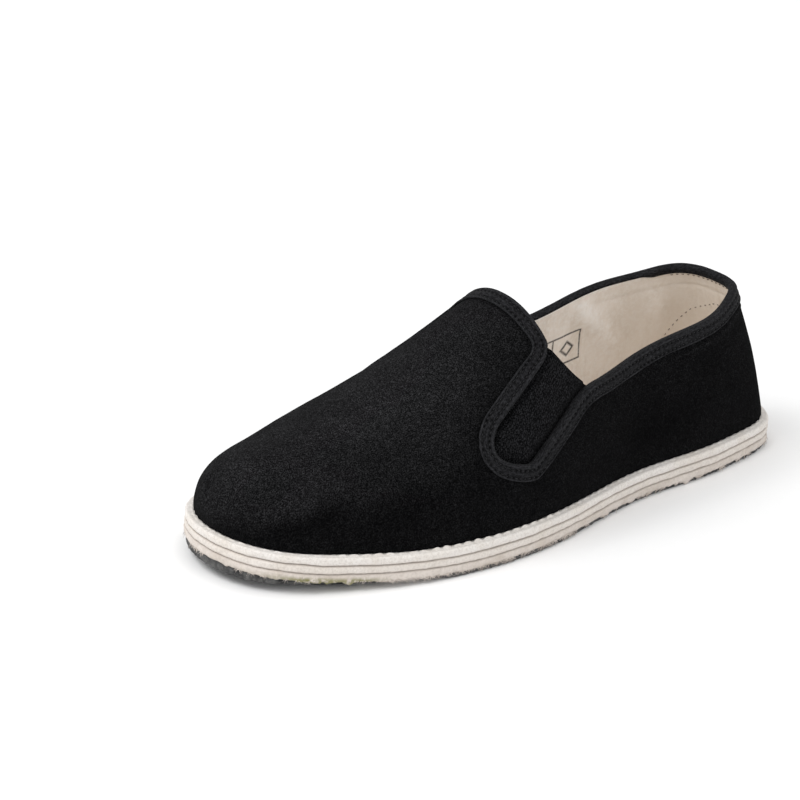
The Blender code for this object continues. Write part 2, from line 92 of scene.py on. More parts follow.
class Value:
    """A socket that carries numbers: arithmetic on it adds Math nodes."""

    def __init__(self, shader: "Shader", socket: bpy.types.NodeSocket) -> None:
        """Wrap a socket of a shader's tree."""
        self.shader = shader
        self.socket = socket

    def math(self, operation: str, *others: "Value | float") -> "Value":
        """The result of one Math node on this value and further values or numbers."""
        inputs = dict(enumerate((self, *others)))
        return self.shader.node("ShaderNodeMath", {"operation": operation}, inputs)

    def __add__(self, other: "Value | float") -> "Value":
        """Sum."""
        return self.math("ADD", other)

    __radd__ = __add__

    def __sub__(self, other: "Value | float") -> "Value":
        """Difference."""
        return self.math("SUBTRACT", other)

    def __rsub__(self, other: float) -> "Value":
        """Difference from a number."""
        return (self * -1.0) + other

    def __mul__(self, other: "Value | float") -> "Value":
        """Product."""
        return self.math("MULTIPLY", other)

    __rmul__ = __mul__

    def __abs__(self) -> "Value":
        """Size without sign."""
        return self.math("ABSOLUTE")

    def wave(self, length: float, phase: "Value | float" = 0.0) -> "Value":
        """A sine from -1 to 1 that repeats after length, with phase added to its angle."""
        return (self * (2 * math.pi / length) + phase).math("SINE")

    def step(self, low: float, high: float) -> "Value":
        """A soft step of this value.

        Args:
            low: Where the step leaves 0.
            high: Where it reaches 1.

        Returns:
            A value from 0 to 1.
        """
        settings = {"interpolation_type": "SMOOTHSTEP"}
        inputs = {"Value": self, "From Min": low, "From Max": high}
        return self.shader.node("ShaderNodeMapRange", settings, inputs)

    def near(self, centre: float, reach: float) -> "Value":
        """1 where this value is at centre, easing to 0 at reach from it."""
        return 1 - abs(self - centre).step(0.0, reach)

    def least(self, other: "Value | float") -> "Value":
        """The smaller of two values."""
        return self.math("MINIMUM", other)

    def most(self, other: "Value | float") -> "Value":
        """The larger of two values."""
        return self.math("MAXIMUM", other)


Feed = Value | float | Sequence[float]


class Shader:
    """A material's node tree and the one way in which nodes are added to it."""

    def __init__(self, name: str) -> None:
        """Start a material with its Principled shader.

        Args:
            name: The material's name.
        """
        self.material = bpy.data.materials.new(name)
        self.material.use_nodes = True
        self.tree = self.material.node_tree
        self.surface = self.tree.nodes["Principled BSDF"]

    def node(self, kind: str, settings: Mapping[str, object],
             inputs: Mapping[str | int, Feed], output: str | int = 0) -> Value:
        """Add a node.

        Args:
            kind: The node's type.
            settings: Its own settings, which are set first.
            inputs: Values or links of its sockets, by name or index.
            output: Which output to hand back.

        Returns:
            The chosen output.
        """
        made = self.tree.nodes.new(kind)
        for name, value in settings.items():
            setattr(made, name, value)
        for name, value in inputs.items():
            self.feed(made.inputs[name], value)
        return Value(self, made.outputs[output])

    def feed(self, socket: bpy.types.NodeSocket, value: Feed) -> None:
        """Link a value to a socket, or set it where it is a plain number or colour.

        Args:
            socket: The socket.
            value: What goes into it.
        """
        if isinstance(value, Value):
            self.tree.links.new(value.socket, socket)
        elif isinstance(value, (int, float)):
            socket.default_value = value
        else:
            room = len(socket.default_value)
            socket.default_value = (*value, 1.0)[:room]

    def constants(self, specular: float, sheen: float = 0.0, spread: float = 0.5) -> None:
        """Set what is the same all over.

        Args:
            specular: Specular level.
            sheen: Weight of the sheen.
            spread: Roughness of the sheen.
        """
        self.surface.inputs["Specular IOR Level"].default_value = specular
        self.surface.inputs["Sheen Weight"].default_value = sheen
        self.surface.inputs["Sheen Roughness"].default_value = spread

    def place(self, scale: Sequence[float] = (1.0, 1.0, 1.0)) -> Value:
        """The point of the frame that is shaded, stretched along its axes."""
        here = self.node("ShaderNodeTexCoord", {}, {}, "Object")
        return self.stretch(here, scale)

    def stretch(self, vector: Value, scale: Sequence[float]) -> Value:
        """A vector times a scale for each axis."""
        return self.node("ShaderNodeVectorMath", {"operation": "MULTIPLY"}, {0: vector, 1: scale})

    def number(self, name: str) -> Value:
        """A number that the mesh carries at each corner."""
        return self.node("ShaderNodeAttribute", {"attribute_name": name}, {}, "Fac")

    def vector(self, name: str) -> Value:
        """A vector that the mesh carries at each corner."""
        return self.node("ShaderNodeAttribute", {"attribute_name": name}, {}, "Vector")

    def axis(self, vector: Value, letter: str) -> Value:
        """One part of a vector."""
        return self.node("ShaderNodeSeparateXYZ", {}, {0: vector}, letter)

    def noise(self, vector: Value, size: float, detail: float = 2.0, rough: float = 0.5) -> Value:
        """Noise around 0.5: blobs about size apart, with finer layers that are rough strong."""
        inputs = {"Vector": vector, "Scale": 1 / size, "Detail": detail, "Roughness": rough}
        return self.node("ShaderNodeTexNoise", {}, inputs, 0)

    def mix(self, factor: Value | float, low: Feed, high: Feed) -> Value:
        """A colour between low, where the factor is 0, and high, where it is 1."""
        settings = {"data_type": "RGBA", "clamp_factor": True}
        return self.node("ShaderNodeMix", settings, {0: factor, 6: low, 7: high}, 2)

    def bump(self, height: Value, distance: float, under: Value | None = None) -> Value:
        """A normal that a height gives.

        Args:
            height: How high the surface stands, in units of distance.
            distance: What a height of 1 is, in metres.
            under: A normal that the relief lies on.

        Returns:
            The normal.
        """
        inputs = {"Height": height, "Distance": distance, "Strength": 1.0}
        if under is not None:
            inputs["Normal"] = under
        return self.node("ShaderNodeBump", {}, inputs)

    def dress(self, colour: Feed, rough: Feed, normal: Value | None = None) -> bpy.types.Material:
        """Join colour, roughness and normal to the shader.

        Args:
            colour: Base colour.
            rough: Roughness.
            normal: Normal, where the surface has relief.

        Returns:
            The finished material.
        """
        self.feed(self.surface.inputs["Base Color"], colour)
        self.feed(self.surface.inputs["Roughness"], rough)
        if normal is not None:
            self.feed(self.surface.inputs["Normal"], normal)
        return self.material


# Finishes


@dataclass(frozen=True)
class Canvas:
    """Matt black cotton canvas with a brushed nap, its flecks darkened by the painted shade that the
    mesh carries.
    """

    deep: Colour = (0.0009, 0.0009, 0.0010)
    fleck: Colour = (0.058, 0.058, 0.061)
    yarn: float = 0.00078
    fleck_size: float = 0.00046
    nap_height: float = 0.00008
    weave_height: float = 0.00006
    sheen: float = 0.014

    def material(self) -> bpy.types.Material:
        """Build the material.

        Returns:
            The material.
        """
        shader = Shader("black_canvas")
        cloth = shader.vector("cloth")
        warp = shader.axis(cloth, "X").wave(self.yarn)
        weft = shader.axis(cloth, "Y").wave(self.yarn)
        weave = (warp * weft) * 0.5 + 0.5
        here = shader.place()
        nap = shader.noise(here, self.fleck_size, 3.0, 0.65)
        patches = shader.noise(here, 0.017, 3.0, 0.55)
        clumps = shader.noise(here, 0.0016, 2.0, 0.6)
        fleck = nap.step(0.40, 0.72) * (0.6 + clumps.step(0.35, 0.65) * 0.5)
        light = (fleck * 0.62 + weave * 0.06) * (0.5 + patches)
        # Painted shade: the shade numbers darken the flecks, and negative shade lightens them as a
        # painted highlight.
        light = light * (1 - shader.number("shade") * 0.9)
        colour = shader.mix(light, self.deep, self.fleck)
        relief = shader.bump(nap, self.nap_height)
        normal = shader.bump(weave, self.weave_height, relief)
        shader.constants(0.0, sheen=self.sheen, spread=0.45)
        return shader.dress(colour, 0.88 + nap * 0.1, normal)


@dataclass(frozen=True)
class Tape:
    """Plain woven cotton tape, a little greyer than the canvas."""

    deep: Colour = (0.0014, 0.0014, 0.0016)
    pale: Colour = (0.033, 0.033, 0.036)
    yarn: float = 0.00056
    relief: float = 0.00011

    def material(self) -> bpy.types.Material:
        """Build the material.

        Returns:
            The material.
        """
        shader = Shader("binding_tape")
        cloth = shader.vector("cloth")
        along, across = shader.axis(cloth, "X"), shader.axis(cloth, "Y")
        slub = shader.noise(shader.stretch(cloth, (0.45, 1.0, 1.0)), 0.00062, 3.0, 0.65)
        rib = (along + across * 0.6).wave(self.yarn * 1.7) * 0.5 + 0.5
        cord = across.wave(self.yarn) * 0.5 + 0.5
        weave = rib * 0.6 + cord * 0.4
        patches = shader.noise(shader.place(), 0.006, 3.0, 0.6)
        light = (slub.step(0.36, 0.72) * 0.75 + weave * 0.25) * (0.35 + patches)
        # Painted shade in the stitch dents, which also sink the tape.
        hole = (shader.number("dent") * 1.5).least(1.0)
        # Painted highlight along the tape's folds, from the ridge numbers.
        light = (light + shader.number("ridge") * 0.24) * (1 - hole)
        colour = shader.mix(light, self.deep, self.pale)
        normal = shader.bump(weave * 0.6 + slub, self.relief)
        shader.constants(0.04, sheen=0.03, spread=0.4)
        return shader.dress(colour, 0.80, normal)


@dataclass(frozen=True)
class Elastic:
    """Black knitted elastic: fine ribs down the gore, with small slanted stitches."""

    deep: Colour = (0.0008, 0.0008, 0.0010)
    pale: Colour = (0.024, 0.024, 0.026)
    rib: float = 0.00115
    stitch: float = 0.00105
    relief: float = 0.00013

    def material(self) -> bpy.types.Material:
        """Build the material.

        Returns:
            The material.
        """
        shader = Shader("black_elastic")
        cloth = shader.vector("cloth")
        down, across = shader.axis(cloth, "X"), shader.axis(cloth, "Y")
        wander = shader.noise(shader.place(), 0.004, 2.0) * 1.4
        lean = down + across * 0.55
        ribs = across.wave(self.rib, wander) * 0.5 + 0.5
        loops = lean.wave(self.stitch, wander) * 0.5 + 0.5
        knit = ribs * 0.3 + loops * 0.4 + ribs * loops * 0.3
        fuzz = shader.noise(shader.place(), 0.00055, 3.0, 0.7)
        light = (knit * 0.28 + fuzz.step(0.35, 0.7) * 0.72).step(0.22, 0.95)
        colour = shader.mix(light, self.deep, self.pale)
        normal = shader.bump(knit + fuzz * 0.35, self.relief)
        shader.constants(0.03, sheen=0.01, spread=0.5)
        return shader.dress(colour, 0.86, normal)


@dataclass(frozen=True)
class Thread:
    """Twisted sewing thread."""

    name: str
    colour: Colour
    twist: float = 0.0006

    def material(self) -> bpy.types.Material:
        """Build the material.

        Returns:
            The material.
        """
        shader = Shader(self.name)
        cloth = shader.vector("cloth")
        turn = (shader.axis(cloth, "X") + shader.axis(cloth, "Y") * self.twist).wave(self.twist)
        lay = turn * 0.5 + 0.5
        dark = tuple(0.45 * part for part in self.colour)
        shader.constants(0.25)
        return shader.dress(shader.mix(lay, dark, self.colour), 0.6, shader.bump(lay, 0.00004))


@dataclass(frozen=True)
class LiningCloth:
    """Plain cream cotton cloth, a little creased, with a faint ink stamp and the painted shade and
    highlight that the mesh carries.
    """

    cream: Colour = (0.90, 0.835, 0.770)
    tan_and_painted_shade: Colour = (0.66, 0.575, 0.480)
    pale: Colour = (0.97, 0.950, 0.920)
    ink: Colour = (0.016, 0.013, 0.012)
    yarn: float = 0.00050
    relief: float = 0.00004
    crease_height: float = 0.00035
    ink_line: float = 0.00070
    stamp_half: tuple[float, float] = (0.0155, 0.0062)
    lozenge_place: float = 0.0082
    lozenge_half: float = 0.0029
    lozenge_line: float = 0.0013
    stamped: bool = True

    def material(self) -> bpy.types.Material:
        """Build the material.

        Returns:
            The material.
        """
        shader = Shader("cream_lining" if self.stamped else "cream_insole")
        cloth = shader.vector("cloth")
        warp = shader.axis(cloth, "X").wave(self.yarn)
        weft = shader.axis(cloth, "Y").wave(self.yarn)
        weave = (warp * weft) * 0.5 + 0.5
        here = shader.place()
        soft = shader.noise(here, 0.020, 3.0, 0.6)
        fine = shader.noise(here, 0.0016, 3.0, 0.6)
        creased = shader.noise(shader.place((1.0, 1.0, 0.45)), 0.0055, 4.0, 0.65)
        shade = shader.number("shade")
        colour = shader.mix(soft.step(0.30, 0.80) * 0.30, self.cream, self.tan_and_painted_shade)
        colour = shader.mix(creased.step(0.38, 0.72) * 0.45, colour, self.tan_and_painted_shade)
        colour = shader.mix(fine.step(0.38, 0.72) * 0.50, colour, self.pale)
        # Painted shade: positive shade numbers mix in the tan; painted highlight: negative ones mix
        # in the pale colour.
        colour = shader.mix(shade.most(0.0) * 0.70, colour, self.tan_and_painted_shade)
        colour = shader.mix((shade * -1.0).most(0.0), colour, self.pale)
        if self.stamped:
            colour = shader.mix(self.stamp(shader), colour, self.ink)
        folds = shader.bump(creased, self.crease_height)
        normal = shader.bump(weave * 0.5 + fine, self.relief, folds)
        shader.constants(0.2, sheen=0.08)
        return shader.dress(colour, 0.86, normal)

    def stamp(self, shader: Shader) -> Value:
        """How much ink lies at a point: a slanted frame, a divider and a bare lozenge.

        Args:
            shader: The lining's shader.

        Returns:
            0 for bare cloth, up to 1 for full ink.
        """
        spot = shader.vector("stamp")
        across, up = shader.axis(spot, "X"), shader.axis(spot, "Y")
        line = self.ink_line
        half_width, half_height = self.stamp_half
        inside_x = 1 - abs(across).step(half_width, half_width + line)
        inside_y = 1 - abs(up).step(half_height, half_height + line)
        frame_sides = abs(across).near(half_width, line) * inside_y
        frame_ends = abs(up).near(half_height, line) * inside_x
        divider = across.near(0.0, line) * inside_y
        lozenge = abs(across - self.lozenge_place) * 0.85 + abs(up)
        lozenge = lozenge.near(self.lozenge_half, self.lozenge_line)
        blot = shader.noise(shader.place(), 0.0009, 3.0, 0.7).step(0.28, 0.55)
        ink = frame_sides.most(frame_ends).most(divider).most(lozenge)
        return ink * (0.62 + blot * 0.38)


@dataclass(frozen=True)
class Cotton:
    """Pressed white cotton, cut across its layers: soft, fibrous and a little soiled, with painted
    shade in the grooves between layers.
    """

    name: str
    white: Colour = (0.765, 0.733, 0.697)
    cream: Colour = (0.66, 0.60, 0.53)
    groove: Colour = (0.43, 0.380, 0.340)
    moss: Colour = (0.20, 0.19, 0.075)
    relief: float = 0.00024

    def material(self) -> bpy.types.Material:
        """Build the material.

        Returns:
            The material.
        """
        shader = Shader(self.name)
        cloth = shader.vector("cloth")
        here = shader.place()
        strands = shader.noise(shader.stretch(cloth, (0.16, 1.0, 1.0)), 0.00045, 4.0, 0.65)
        cloudy = shader.noise(here, 0.012, 3.0, 0.6)
        fuzz = shader.noise(here, 0.0006, 3.0, 0.7)
        colour = shader.mix(cloudy.step(0.35, 0.75) * 0.6 + strands.step(0.5, 0.8) * 0.35,
                            self.white, self.cream)
        pores = shader.noise(here, 0.00085, 3.0, 0.75).step(0.30, 0.60)
        # Random darker pores in the cotton, in the groove shade's brown.
        colour = shader.mix((1 - pores) * 0.40, colour, self.groove)
        # Painted shade in the grooves between the layers, broken up by the fuzz.
        gap = shader.number("groove")
        colour = shader.mix(gap * (0.45 + fuzz * 0.7), colour, self.groove)
        soil = shader.number("soil") * shader.noise(here, 0.0022, 3.0, 0.7).step(0.30, 0.58)
        colour = shader.mix(soil, colour, self.moss)
        normal = shader.bump(strands * 0.7 + fuzz * 0.6, self.relief)
        shader.constants(0.15, sheen=0.15, spread=0.5)
        return shader.dress(colour, 0.92, normal)


@dataclass(frozen=True)
class Rubber:
    """Dull dark rubber with a rough cut edge."""

    dark: Colour = (0.020, 0.020, 0.021)
    dusty: Colour = (0.15, 0.149, 0.146)
    relief: float = 0.00030

    def material(self) -> bpy.types.Material:
        """Build the material.

        Returns:
            The material.
        """
        shader = Shader("dark_rubber")
        here = shader.place()
        grain = shader.noise(here, 0.0011, 4.0, 0.7)
        dust = shader.noise(shader.place((1.0, 1.0, 0.6)), 0.0060, 4.0, 0.65)
        pits = shader.noise(here, 0.0032, 3.0, 0.6)
        colour = shader.mix(dust.step(0.34, 0.70) * 0.7 + grain.step(0.45, 0.75) * 0.4,
                            self.dark, self.dusty)
        normal = shader.bump(grain * 0.6 + pits, self.relief)
        shader.constants(0.3)
        return shader.dress(colour, 0.66 + grain * 0.3, normal)


@dataclass(frozen=True)
class Paper:
    """The plain pale floor."""

    colour: Colour = (0.90, 0.90, 0.90)

    def material(self) -> bpy.types.Material:
        """Build the material.

        Returns:
            The material.
        """
        shader = Shader("pale_floor")
        speck = shader.noise(shader.place(), 0.004, 2.0)
        shade = tuple(0.985 * part for part in self.colour)
        shader.constants(0.1)
        return shader.dress(shader.mix(speck, self.colour, shade), 0.9)


# Mesh tools


def arc_lengths(points: Array) -> Array:
    """Running length along a polyline, from 0."""
    steps = np.linalg.norm(np.diff(points, axis=0), axis=1)
    return np.concatenate([[0.0], np.cumsum(steps)])


def resample(angles: Array, points: Array, marks: Array) -> Array:
    """Pairs of angles at given lengths along the polyline of their points."""
    lengths = arc_lengths(points)
    return np.stack([np.interp(marks, lengths, column) for column in angles.T], -1)


def ease(value: Array, low: float, high: float) -> Array:
    """A soft step from 0 at low to 1 at high."""
    share = np.clip((np.asarray(value, float) - low) / (high - low), 0, 1)
    return share * share * (3 - 2 * share)


def cloudy(points: Array, size: float, seed: float, octaves: int = 2) -> Array:
    """Smooth noise from about -1 to 1.

    Args:
        points: Where to read it.
        size: About how far apart its blobs are.
        seed: Which noise.
        octaves: How many finer layers it has.

    Returns:
        One value for each point.
    """
    shift = Vector((seed * 7.31, seed * 3.17, seed * 5.73))
    spots = np.column_stack([points, np.zeros(len(points))]) if points.shape[1] == 2 else points
    return np.array([noise.fractal(Vector(spot) / size + shift, 1.0, 2.0, octaves)
                     for spot in spots])


def unit(vectors: Array) -> Array:
    """Vectors made one long."""
    return vectors / np.linalg.norm(vectors, axis=-1, keepdims=True)


def inside(points: Array, polygon: Array) -> Array:
    """Whether each point of a plane lies inside a polygon.

    Args:
        points: Points of the plane.
        polygon: The polygon's corners in order.

    Returns:
        True or False for each point.
    """
    x, y = points[:, 0:1], points[:, 1:2]
    x0, y0 = polygon[:, 0], polygon[:, 1]
    x1, y1 = np.roll(x0, -1), np.roll(y0, -1)
    spans = (y0 > y) != (y1 > y)
    rise = np.where(y1 == y0, 1.0, y1 - y0)
    return (spans & (x < x0 + (y - y0) * (x1 - x0) / rise)).sum(1) % 2 == 1


def distances(points: Array, others: Array) -> Array:
    """How far each point is from the nearest of some others.

    Args:
        points: The points.
        others: What they may be near to.

    Returns:
        A distance for each point.
    """
    tree = KDTree(len(others))
    for index, spot in enumerate(others):
        tree.insert(spot, index)
    tree.balance()
    return np.array([tree.find(spot)[2] for spot in points])


def ring_faces(rings: int, count: int, closed: bool = False) -> Array:
    """Quads between rings of corners.

    Args:
        rings: How many rings there are.
        count: Corners in each ring.
        closed: Whether the last ring joins the first.

    Returns:
        Four corners for each quad.
    """
    ring = np.arange(rings if closed else rings - 1)[:, None] * count
    here = np.arange(count)[None, :]
    ahead = (here + 1) % count
    up = (ring + count) % (rings * count)
    return np.stack([ring + here, ring + ahead, up + ahead, up + here], -1).reshape(-1, 4)


def make_piece(name: str, corners: Array, faces: Sequence[Array], material: bpy.types.Material,
               values: Mapping[str, Array] | None = None) -> bpy.types.Object:
    """Make one object of corners and faces, with its faces pointing out.

    Args:
        name: The piece's name.
        corners: Its corners.
        faces: Arrays of triangles and quads.
        material: What it is made of.
        values: Numbers or vectors that the corners carry for the material.

    Returns:
        The object, in the scene.
    """
    mesh = bpy.data.meshes.new(name)
    sizes = np.concatenate([np.full(len(part), part.shape[1]) for part in faces])
    loops = np.concatenate([part.ravel() for part in faces])
    mesh.vertices.add(len(corners))
    mesh.vertices.foreach_set("co", np.asarray(corners, np.float32).ravel())
    mesh.loops.add(len(loops))
    mesh.loops.foreach_set("vertex_index", loops.astype(np.int32))
    mesh.polygons.add(len(sizes))
    starts = np.concatenate([[0], np.cumsum(sizes)[:-1]])
    mesh.polygons.foreach_set("loop_start", starts.astype(np.int32))
    mesh.update(calc_edges=True)
    for label, value in (values or {}).items():
        kind, entry = ("FLOAT", "value") if value.ndim == 1 else ("FLOAT_VECTOR", "vector")
        layer = mesh.attributes.new(label, kind, "POINT")
        layer.data.foreach_set(entry, np.asarray(value, np.float32).ravel())
    shape = bmesh.new()
    shape.from_mesh(mesh)
    loose = [vert for vert in shape.verts if not vert.link_faces]
    bmesh.ops.delete(shape, geom=loose, context="VERTS")
    bmesh.ops.recalc_face_normals(shape, faces=shape.faces)
    shape.to_mesh(mesh)
    shape.free()
    mesh.shade_smooth()
    mesh.set_sharp_from_angle(angle=math.radians(70))
    mesh.materials.append(material)
    piece = bpy.data.objects.new(name, mesh)
    bpy.context.scene.collection.objects.link(piece)
    return piece


def seat(piece: bpy.types.Object, slot: Slot, *nodes: str) -> bpy.types.Object:
    """Let a piece ride on the shoe and stand for its CAD nodes.

    Args:
        piece: The piece.
        slot: A material slot; not used.
        nodes: CAD nodes that it stands for.

    Returns:
        The same piece.
    """
    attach(piece, "root")
    if nodes:
        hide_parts(*nodes)
    log.info("%s: %d faces, for %s", piece.name, len(piece.data.polygons), nodes or "no node")
    return piece


# The form of the foot


def smooth_curve(stations: Sequence[float], values: Sequence[float]) -> Callable[[Array], Array]:
    """Natural cubic through a table's columns.

    Args:
        stations: The first column, rising.
        values: The second column.

    Returns:
        The curve's value as a function of the station.
    """
    s, v = np.array(stations, float), np.array(values, float)
    h = np.diff(s)
    slope = np.diff(v) / h
    system, right = np.eye(len(s)), np.zeros(len(s))
    for i in range(1, len(s) - 1):
        system[i, i - 1:i + 2] = h[i - 1], 2 * (h[i - 1] + h[i]), h[i]
        right[i] = 6 * (slope[i] - slope[i - 1])
    bend = np.linalg.solve(system, right)

    def value(at: Array) -> Array:
        """Read the curve.

        Args:
            at: One or more stations.

        Returns:
            The curve there.
        """
        at = np.asarray(at, float)
        i = np.clip(np.searchsorted(s, at) - 1, 0, len(h) - 1)
        past, left, width = at - s[i], s[i + 1] - at, h[i]
        cubic = (bend[i] * left ** 3 + bend[i + 1] * past ** 3) / (6 * width)
        start = (v[i] / width - bend[i] * width / 6) * left
        end = (v[i + 1] / width - bend[i + 1] * width / 6) * past
        return cubic + start + end

    return value


# Sole outline: share of the length from the heel, half widths as shares of the ball's width
SOLE_PLAN = (
    # station, outer, inner
    (0.08, 0.273, 0.270),
    (0.18, 0.326, 0.335),
    (0.32, 0.351, 0.330),
    (0.45, 0.427, 0.345),
    (0.58, 0.497, 0.420),
    (0.70, 0.499, 0.482),
    (0.80, 0.450, 0.475),
    (0.90, 0.350, 0.390),
)

# Ridge of the last: share of the length, height over the sole as a share of the instep's
RIDGE = (
    # station, height
    (0.00, 1.18),
    (0.20, 1.24),
    (0.35, 1.01),
    (0.48, 1.06),
    (0.60, 0.832),
    (0.70, 0.625),
    (0.80, 0.490),
    (0.90, 0.401),
    (1.00, 0.386),
)

# Fullness of the cross-sections: 1 is a straight side, 2 an ellipse, more is boxier
FULLNESS = (
    # station, exponent
    (0.00, 1.02),
    (0.12, 1.90),
    (0.30, 2.45),
    (0.50, 2.12),
    (0.70, 2.10),
    (0.90, 2.22),
    (1.00, 2.35),
)

# Collar: share of the length, share of the way from the side's height up to the heel's
COLLAR = (
    # station, rise
    (0.00, 1.00),
    (0.08, 1.00),
    (0.12, 0.95),
    (0.16, 0.75),
    (0.22, 0.59),
    (0.28, 0.47),
    (0.34, 0.28),
    (0.40, 0.09),
    (0.46, 0.02),
    (0.54, 0.00),
)


@dataclass
class Last:
    """The form of the foot that the shoe is built round."""

    length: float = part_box("sole_layer_top")[1].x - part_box("sole_layer_top")[0].x
    sole_height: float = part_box("upper")[0].z - FIT
    ball_width: float = 0.099
    heel_round: float = 0.033
    toe_round: float = 0.040
    toe_swing: float = 0.002
    toe_spring: float = 0.006
    spring_start: float = 0.66
    instep_height: float = 0.0735
    heel_height: float = 0.0572
    heel_lean: float = 0.0395
    toe_slope: float = 0.0336
    ledge: float = 0.0028
    sole_stitch: float = 0.0046
    shift: float = field(default=0.0, init=False)

    def __post_init__(self) -> None:
        """Work out the curves from the sizes and tables."""
        stations, middles = [0.0], [0.0]
        widths = [math.sqrt(self.heel_round * self.length / 2)]
        for station, outer, inner in SOLE_PLAN:
            stations.append(station)
            middles.append(self.ball_width * (outer - inner) / 2)
            roundness = 2 * math.sqrt(station * (1 - station))
            widths.append(self.ball_width * (outer + inner) / 2 / roundness)
        stations.append(1.0)
        middles.append(-self.toe_swing)
        widths.append(math.sqrt(self.toe_round * self.length / 2))
        self.middle_curve = smooth_curve(stations, middles)
        self.width_curve = smooth_curve(stations, widths)
        self.ridge = smooth_curve(*zip(*RIDGE))
        self.fullness = smooth_curve(*zip(*FULLNESS))
        self.collar = smooth_curve(*zip(*COLLAR))
        sides = self.outline(np.linspace(-np.pi, np.pi, 721))[:, 1]
        self.shift = (sides.max() + sides.min()) / 2
        half = np.linspace(0, np.pi, 2001)
        feather_x = self.outline(half, self.ledge)[:, 0]
        self.heel_x, self.toe_x = feather_x[0], feather_x[-1]
        self.turn = np.arccos(1 - 2 * (feather_x - self.heel_x) / (self.toe_x - self.heel_x))
        self.turn_theta = half
        feather_length = self.toe_x - self.heel_x
        self.squeeze = (feather_length - self.heel_lean - self.toe_slope) / feather_length
        self.ridge_start = self.heel_x * (1 - self.squeeze) + self.heel_lean

    def share(self, x: Array) -> Array:
        """Share of the sole's length at x, from the back of the heel."""
        return x / self.length + 0.5

    def station_x(self, station: float) -> float:
        """Where a share of the sole's length lies along X."""
        return self.length * (station - 0.5)

    def middle(self, station: Array) -> Array:
        """The centre line's offset, toward the outer side."""
        return self.middle_curve(np.clip(station, 0, 1)) - self.shift

    def half_width(self, theta: Array) -> Array:
        """The outline's half width, on either side of the centre line."""
        return self.width_curve((1 - np.cos(theta)) / 2) * np.sin(theta)

    def outline(self, theta: Array, inset: Array | float = 0.0) -> Array:
        """Points of the sole's outline.

        Args:
            theta: Angles round the outline.
            inset: How far the points are set in from it.

        Returns:
            X and Y of each point.
        """
        x = -self.length / 2 * np.cos(theta)
        along = self.length / 2 * np.sin(theta)
        ahead, behind = self.half_width(theta + SMALL_ANGLE), self.half_width(theta - SMALL_ANGLE)
        across = (ahead - behind) / (2 * SMALL_ANGLE)
        size = np.hypot(along, across)
        y = self.middle(self.share(x)) + self.half_width(theta)
        return np.stack([x + inset * across / size, y - inset * along / size], -1)

    def seam_lengths(self) -> tuple[Array, Array]:
        """Angles all round the seam at the sole, and the running length at each."""
        theta = np.linspace(-np.pi, np.pi, 2881)
        return theta, arc_lengths(self.outline(theta, self.ledge))

    def stitch_phase(self, theta: Array) -> Array:
        """Angle that grows by pi from one sole stitch to the next, for thetas round the seam."""
        around, lengths = self.seam_lengths()
        return np.interp(theta, around, lengths) * np.pi / self.sole_stitch

    def toe_climb(self, x: Array) -> Array:
        """How far the toe has sprung up at x, from 0 under the ball to 1 at the tip."""
        past = (self.share(x) - self.spring_start) / (1 - self.spring_start)
        return np.clip(past, 0, None) ** 2

    def sole_top(self, x: Array) -> Array:
        """Height of the sole's upper side, which springs up at the toe."""
        return self.sole_height + self.toe_spring * self.toe_climb(x)

    def ridge_height(self, x: Array) -> Array:
        """Height of the ridge over the sole."""
        return self.instep_height * self.ridge(np.clip(self.share(x), 0, 1))

    def collar_height(self, x: Array, side_height: float) -> Array:
        """Height over the floor of a collar that is side_height tall beside the foot."""
        rise = self.collar(np.clip(self.share(x), COLLAR[0][0], COLLAR[-1][0]))
        return self.sole_height + side_height + (self.heel_height - side_height) * rise

    def fold(self, theta: Array, alpha: Array) -> tuple[Array, Array]:
        """Carry angles past the ridge over to the other side."""
        over = alpha > QUARTER
        return np.where(over, -theta, theta), np.where(over, np.pi - alpha, alpha)

    def feet(self, theta: Array) -> tuple[Array, Array]:
        """Where the surface starts and where it ends.

        Args:
            theta: Angles round the outline.

        Returns:
            Points on the seam at the sole, and the ridge points that they climb to.
        """
        foot = self.outline(theta, self.ledge)
        top_x = self.ridge_start + self.squeeze * foot[..., 0]
        return foot, np.stack([top_x, self.middle(self.share(top_x))], -1)

    def section(self, alpha: Array, fullness: Array) -> tuple[Array, Array]:
        """Where a point of a cross-section lies.

        Args:
            alpha: How far it has climbed.
            fullness: The section's exponent.

        Returns:
            How far out and how high it lies, as shares.
        """
        c, s = np.abs(np.cos(alpha)), np.sin(alpha)
        size = (c ** fullness + np.abs(s) ** fullness) ** (-1 / fullness)
        return size * c, size * s

    def point(self, theta: Array, alpha: Array) -> Array:
        """Points of the last's surface.

        Args:
            theta: Angles round the outline.
            alpha: Angles up from the seam.

        Returns:
            The points.
        """
        theta, alpha = self.fold(np.asarray(theta, float), np.asarray(alpha, float))
        foot, top = self.feet(theta)
        full = self.fullness(np.clip(self.share(foot[..., 0]), 0, 1))
        out, up = self.section(alpha, full)
        plan = top + (foot - top) * out[..., None]
        x = plan[..., 0]
        z = self.sole_top(x) + FIT + up * self.ridge_height(x)
        return np.concatenate([plan, z[..., None]], -1)

    def slopes(self, theta: Array, alpha: Array) -> tuple[Array, Array]:
        """How the surface runs.

        Args:
            theta: Angles round the outline.
            alpha: Angles up from the seam.

        Returns:
            Rates of change with theta and with alpha.
        """
        alpha = np.minimum(alpha, QUARTER - 2 * SMALL_ANGLE)
        step = SMALL_ANGLE
        by_theta = self.point(theta + step, alpha) - self.point(theta - step, alpha)
        by_alpha = self.point(theta, alpha + step) - self.point(theta, alpha - step)
        return by_theta / (2 * step), by_alpha / (2 * step)

